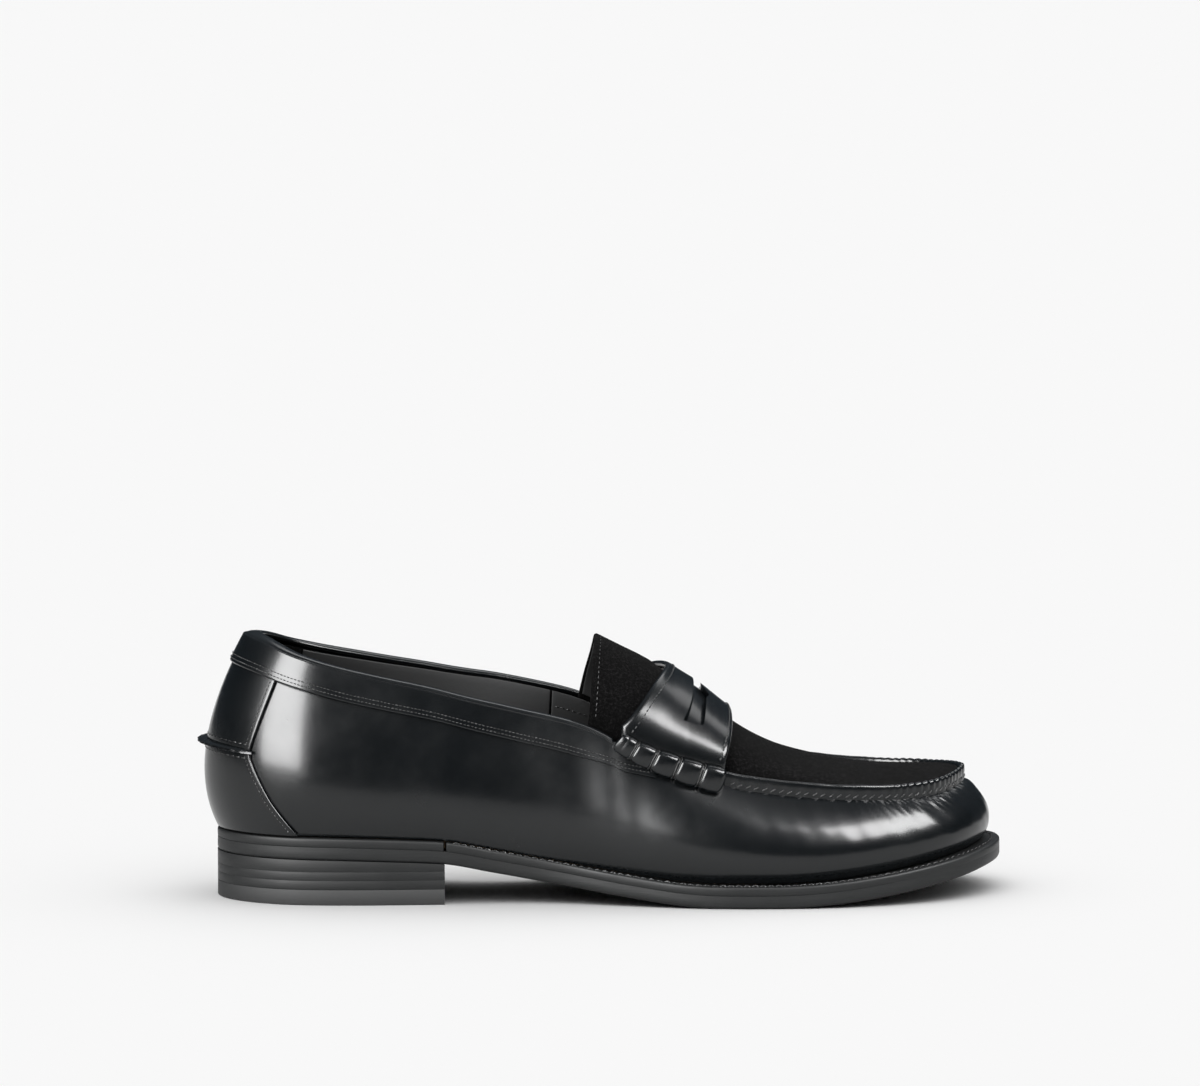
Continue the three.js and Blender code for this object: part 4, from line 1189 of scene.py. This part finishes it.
def stitch_group():
    """Lays one arched stitch of thread at every point, along its seam."""
    group = node_group("stitches")
    for name, value in (("Length", 0.0015), ("Thickness", 0.0004), ("Arch", 0.0003)):
        named_input(group, name, "NodeSocketFloat", value)
    named_input(group, "Seed", "NodeSocketInt", 7)
    named_input(group, "Thread", "NodeSocketMaterial", None)
    given = group.nodes.new("NodeGroupInput").outputs

    def place(x, z):
        return node(group, "ShaderNodeCombineXYZ", {"X": x, "Z": z}).outputs["Vector"]

    def times(value, factor):
        return node(group, "ShaderNodeMath", {0: value, 1: factor}, operation="MULTIPLY").outputs[0]

    sunk = times(given["Thickness"], -0.5)
    bow = node(group, "GeometryNodeCurveQuadraticBezier",
               {"Resolution": 7, "Start": place(times(given["Length"], -0.5), sunk),
                "Middle": place(0.0, times(given["Arch"], 2.0)),
                "End": place(times(given["Length"], 0.5), sunk)})
    ring = node(group, "GeometryNodeCurvePrimitiveCircle",
                {"Resolution": 8, "Radius": times(given["Thickness"], 0.5)})
    stitch = node(group, "GeometryNodeCurveToMesh",
                  {"Curve": bow.outputs["Curve"], "Profile Curve": ring.outputs["Curve"],
                   "Fill Caps": True})
    turn = node(group, "FunctionNodeAxesToRotation", primary_axis="X", secondary_axis="Z")
    for socket, name in ((0, "along"), (1, "up")):
        axis = node(group, "GeometryNodeInputNamedAttribute", {"Name": name}, data_type="FLOAT_VECTOR")
        group.links.new(axis.outputs["Attribute"], turn.inputs[socket])
    uneven_size = node(group, "FunctionNodeRandomValue", {"Seed": given["Seed"]}, data_type="FLOAT_VECTOR")
    uneven_size.inputs["Min"].default_value = (0.9, 0.9, 0.85)
    uneven_size.inputs["Max"].default_value = (1.08, 1.1, 1.15)
    laid = node(group, "GeometryNodeInstanceOnPoints",
                {"Points": given["Geometry"], "Instance": stitch.outputs["Mesh"],
                 "Rotation": turn.outputs["Rotation"], "Scale": uneven_size.outputs["Value"]})
    real = node(group, "GeometryNodeRealizeInstances", {"Geometry": laid.outputs["Instances"]})
    dyed = node(group, "GeometryNodeSetMaterial",
                {"Geometry": real.outputs["Geometry"], "Material": given["Thread"]})
    end = group.nodes.new("NodeGroupOutput")
    group.links.new(dyed.outputs["Geometry"], end.inputs["Geometry"])
    return group


def cord_group():
    """Winds a thread along every edge of a wire."""
    group = node_group("cords")
    named_input(group, "Thickness", "NodeSocketFloat", 0.0005)
    named_input(group, "Thread", "NodeSocketMaterial", None)
    given = group.nodes.new("NodeGroupInput").outputs
    wire = node(group, "GeometryNodeMeshToCurve", {"Mesh": given["Geometry"]})
    half = node(group, "ShaderNodeMath", {0: given["Thickness"], 1: 0.5}, operation="MULTIPLY")
    ring = node(group, "GeometryNodeCurvePrimitiveCircle", {"Resolution": 8, "Radius": half.outputs[0]})
    cord = node(group, "GeometryNodeCurveToMesh",
                {"Curve": wire.outputs["Curve"], "Profile Curve": ring.outputs["Curve"],
                 "Fill Caps": True})
    real = node(group, "GeometryNodeRealizeInstances", {"Geometry": cord.outputs["Mesh"]})
    dyed = node(group, "GeometryNodeSetMaterial",
                {"Geometry": real.outputs["Geometry"], "Material": given["Thread"]})
    end = group.nodes.new("NodeGroupOutput")
    group.links.new(dyed.outputs["Geometry"], end.inputs["Geometry"])
    return group


STITCH_SEED = 7
STITCHES = stitch_group()
CORDS = cord_group()


def grow(name, mesh, group, values, body):
    """Runs a node group on a mesh with named inputs and keeps the result as a plain piece."""
    piece = bpy.data.objects.new(name, mesh)
    bpy.context.scene.collection.objects.link(piece)
    modifier = piece.modifiers.new(name, "NODES")
    modifier.node_group = group
    for item in group.interface.items_tree:
        if item.in_out == "INPUT" and item.name in values:
            modifier[item.identifier] = values[item.name]
    apply_modifiers(piece)
    if signed_volume(piece.data) < 0:
        piece.data.flip_normals()
    piece.data.shade_smooth()
    piece.data.set_sharp_from_angle(angle=math.radians(50))
    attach(piece, body)
    return piece


def stitch_places(path, up, pitch, lean=0.0):
    """Evenly spaced places along a seam: where each stitch lies, its direction and its outward side."""
    length = path_lengths(path)
    count = max(int(length[-1] / pitch), 1)
    at = (np.arange(count) + 0.5) * length[-1] / count

    def along_path(values, where):
        return np.stack([np.interp(where, length, values[:, k]) for k in range(3)], axis=1)
    direction = unit(along_path(path, at + 0.3) - along_path(path, at - 0.3))
    outward = unit(along_path(up, at))
    return along_path(path, at), unit(direction + lean * unit(np.cross(outward, direction))), outward


def sew(name, places, length, thickness, arch, body="shoe"):
    """Stitches at all the places of a list of seams; length, thickness and arch are in mm."""
    point, along, up = (np.concatenate(part) for part in zip(*places))
    mesh = bpy.data.meshes.new(name)
    mesh.from_pydata(((point + SHIFT) * MM).tolist(), [], [])
    for attribute, values in (("along", along), ("up", up)):
        mesh.attributes.new(attribute, "FLOAT_VECTOR", "POINT").data.foreach_set("vector", values.ravel())
    sizes = {"Length": length * MM, "Thickness": thickness * MM, "Arch": arch * MM}
    return grow(name, mesh, STITCHES, {**sizes, "Seed": STITCH_SEED, "Thread": THREAD}, body)


def row_on(surface, u, v, lift, pitch, lean=0.0):
    u, v = np.broadcast_arrays(np.asarray(u, float), np.asarray(v, float))
    up = normals(surface, u, v)
    return stitch_places(surface(u, v) + up * np.broadcast_to(lift, u.shape)[:, None], up, pitch, lean)


def sew_collar():
    s = np.linspace(BAND_END + 0.12, AROUND - BAND_END - 0.12, 900)
    rows = []
    for up in (1.3, 2.7):
        share = share_below_top(s, band_depth(set_back(s)) - up)
        rows.append(row_on(wall, s, share, band_inner(s) + BAND_THICK, 1.45))
    sew("collar_stitches", rows, length=0.95, thickness=0.42, arch=0.2)


def sew_back():
    rows = []
    for low, high in ((0.03, PANEL_SPLIT - 0.02), (PANEL_SPLIT + 0.03, 0.86)):
        v = np.linspace(low, high, 120)
        front = panel_front(v) + 0.085
        rows += [row_on(wall, front, v, PANEL_OUT, 1.5), row_on(wall, AROUND - front, v, PANEL_OUT, 1.5)]
    sew("back_panel_stitches", rows, length=0.95, thickness=0.45, arch=0.2)
    front = float(panel_front(PANEL_SPLIT)) + 0.05
    s = np.linspace(front, AROUND - front, 300)
    rows = [row_on(wall, s, PANEL_SPLIT + side * 0.034, PANEL_OUT, 2.6) for side in (1, -1)]
    sew("heel_ridge_stitches", rows, length=1.6, thickness=0.45, arch=0.15)


def sew_plug():
    """Hand stitches where the plug seam's ridge meets the vamp, slanting forward."""
    s = np.linspace(-SEAM_END - 0.15, SEAM_END + 0.15, 1500)
    out = outward_at(s)
    path = top_edge(s) + out * (RIDGE_WIDTH / 2 - UPPER / 2 - 0.1)
    path[:, 2] += 0.55
    rows = [stitch_places(path, out, STITCH_PITCH / 2, lean=0.75)]
    sew("plug_hand_stitches", rows, length=2.1, thickness=0.62, arch=0.3)


def sew_welt():
    breast = float(station_where(foot_x, HEEL_LENGTH)) - 0.1
    s = np.linspace(-breast, breast, 1600)
    path = plan_point(s, 0.52 * extension_at(foot_x(s)))
    path[:, 2] = welt_top(foot_x(s)) + 0.02
    rows = [stitch_places(path, stack(0, 0, 1 + 0 * s), 3.0)]
    sew("welt_stitches", rows, length=2.3, thickness=0.62, arch=0.35)


def sew_strap():
    w = np.linspace(-1.02, 1.02, 500)
    rows = [row_on(strap_surface, 0.055, w, STRAP_OUT, 2.0), row_on(strap_surface, 0.9, w, STRAP_OUT, 2.0)]
    sew("strap_stitches", rows, length=1.2, thickness=0.6, arch=0.25)


def sew_inside():
    rows = []
    rear, front, drop = 9.15, 7.8, 8.0
    for first, last in ((front, rear), (AROUND - rear, AROUND - front)):
        s = np.linspace(first, last, 200)
        up = -normals(wall, s, share_below_top(s, drop))
        rows.append(stitch_places(wall(s, share_below_top(s, drop)) - up * LINING_IN, up, 2.2))
    sew("lining_stitches", rows, length=1.4, thickness=0.45, arch=0.2)
    w = np.linspace(-0.9, 0.9, 300)
    rows = [row_on(wavy_tongue, 0.9, w, 0.05, 2.2)]
    sew("tongue_stitches", rows, length=1.3, thickness=0.4, arch=0.08, body="tongue")


def wind_rolls():
    """The threads bound round the beefrolls, two strands to a wrap."""
    count = 48
    c, s = squared(np.linspace(0, 2 * np.pi, count, endpoint=False))
    points, edges = [], []
    for sign in (1, -1):
        for wrap in WRAPS:
            for strand in (-0.009, 0.009):
                at = wrap + strand + WRAP_LEAN * s
                start = len(points)
                points += on_roll(sign, at, roll_size(at) + 0.12, c, s).tolist()
                edges += [(start + k, start + (k + 1) % count) for k in range(count)]
    mesh = bpy.data.meshes.new("roll_wraps")
    mesh.from_pydata(((np.array(points) + SHIFT) * MM).tolist(), edges, [])
    grow("roll_wraps", mesh, CORDS, {"Thickness": 0.55 * MM, "Thread": THREAD}, "shoe")


build_camera()
build_stage()
build_heel()
build_sole()
build_vamp()
build_back()
build_heel_ridge()
build_collar()
build_linings()
build_footbed()
build_plug()
build_seam_ridge()
build_tongue()
build_strap()
build_rolls()
sew_collar()
sew_back()
sew_plug()
sew_welt()
sew_strap()
sew_inside()
wind_rolls()

BOARD = inner_board("fibre_board", *BOARD_LOOK)
INSIDE = {
    "insole_rib": BOARD, "heel_counter": BOARD, "toe_puff": BOARD, "plug_lining": LINING,
    "cork_filler": inner_board("cork_paste", (0.06, 0.032, 0.014, 1), (0.19, 0.11, 0.05, 1), 260),
    "shank": inner_board("spring_steel", (0.28, 0.29, 0.31, 1), (0.42, 0.43, 0.45, 1), 60, 0.35, 1.0),
}
BRASS = inner_board("brass", (0.5, 0.33, 0.12, 1), (0.66, 0.46, 0.18, 1), 90, 0.3, 1.0)
for k in range(5):
    INSIDE[f"heel_nail_{k + 1}"] = BRASS
for name, material in INSIDE.items():
    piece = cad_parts[name]
    piece.data.materials.clear()
    piece.data.materials.append(material)
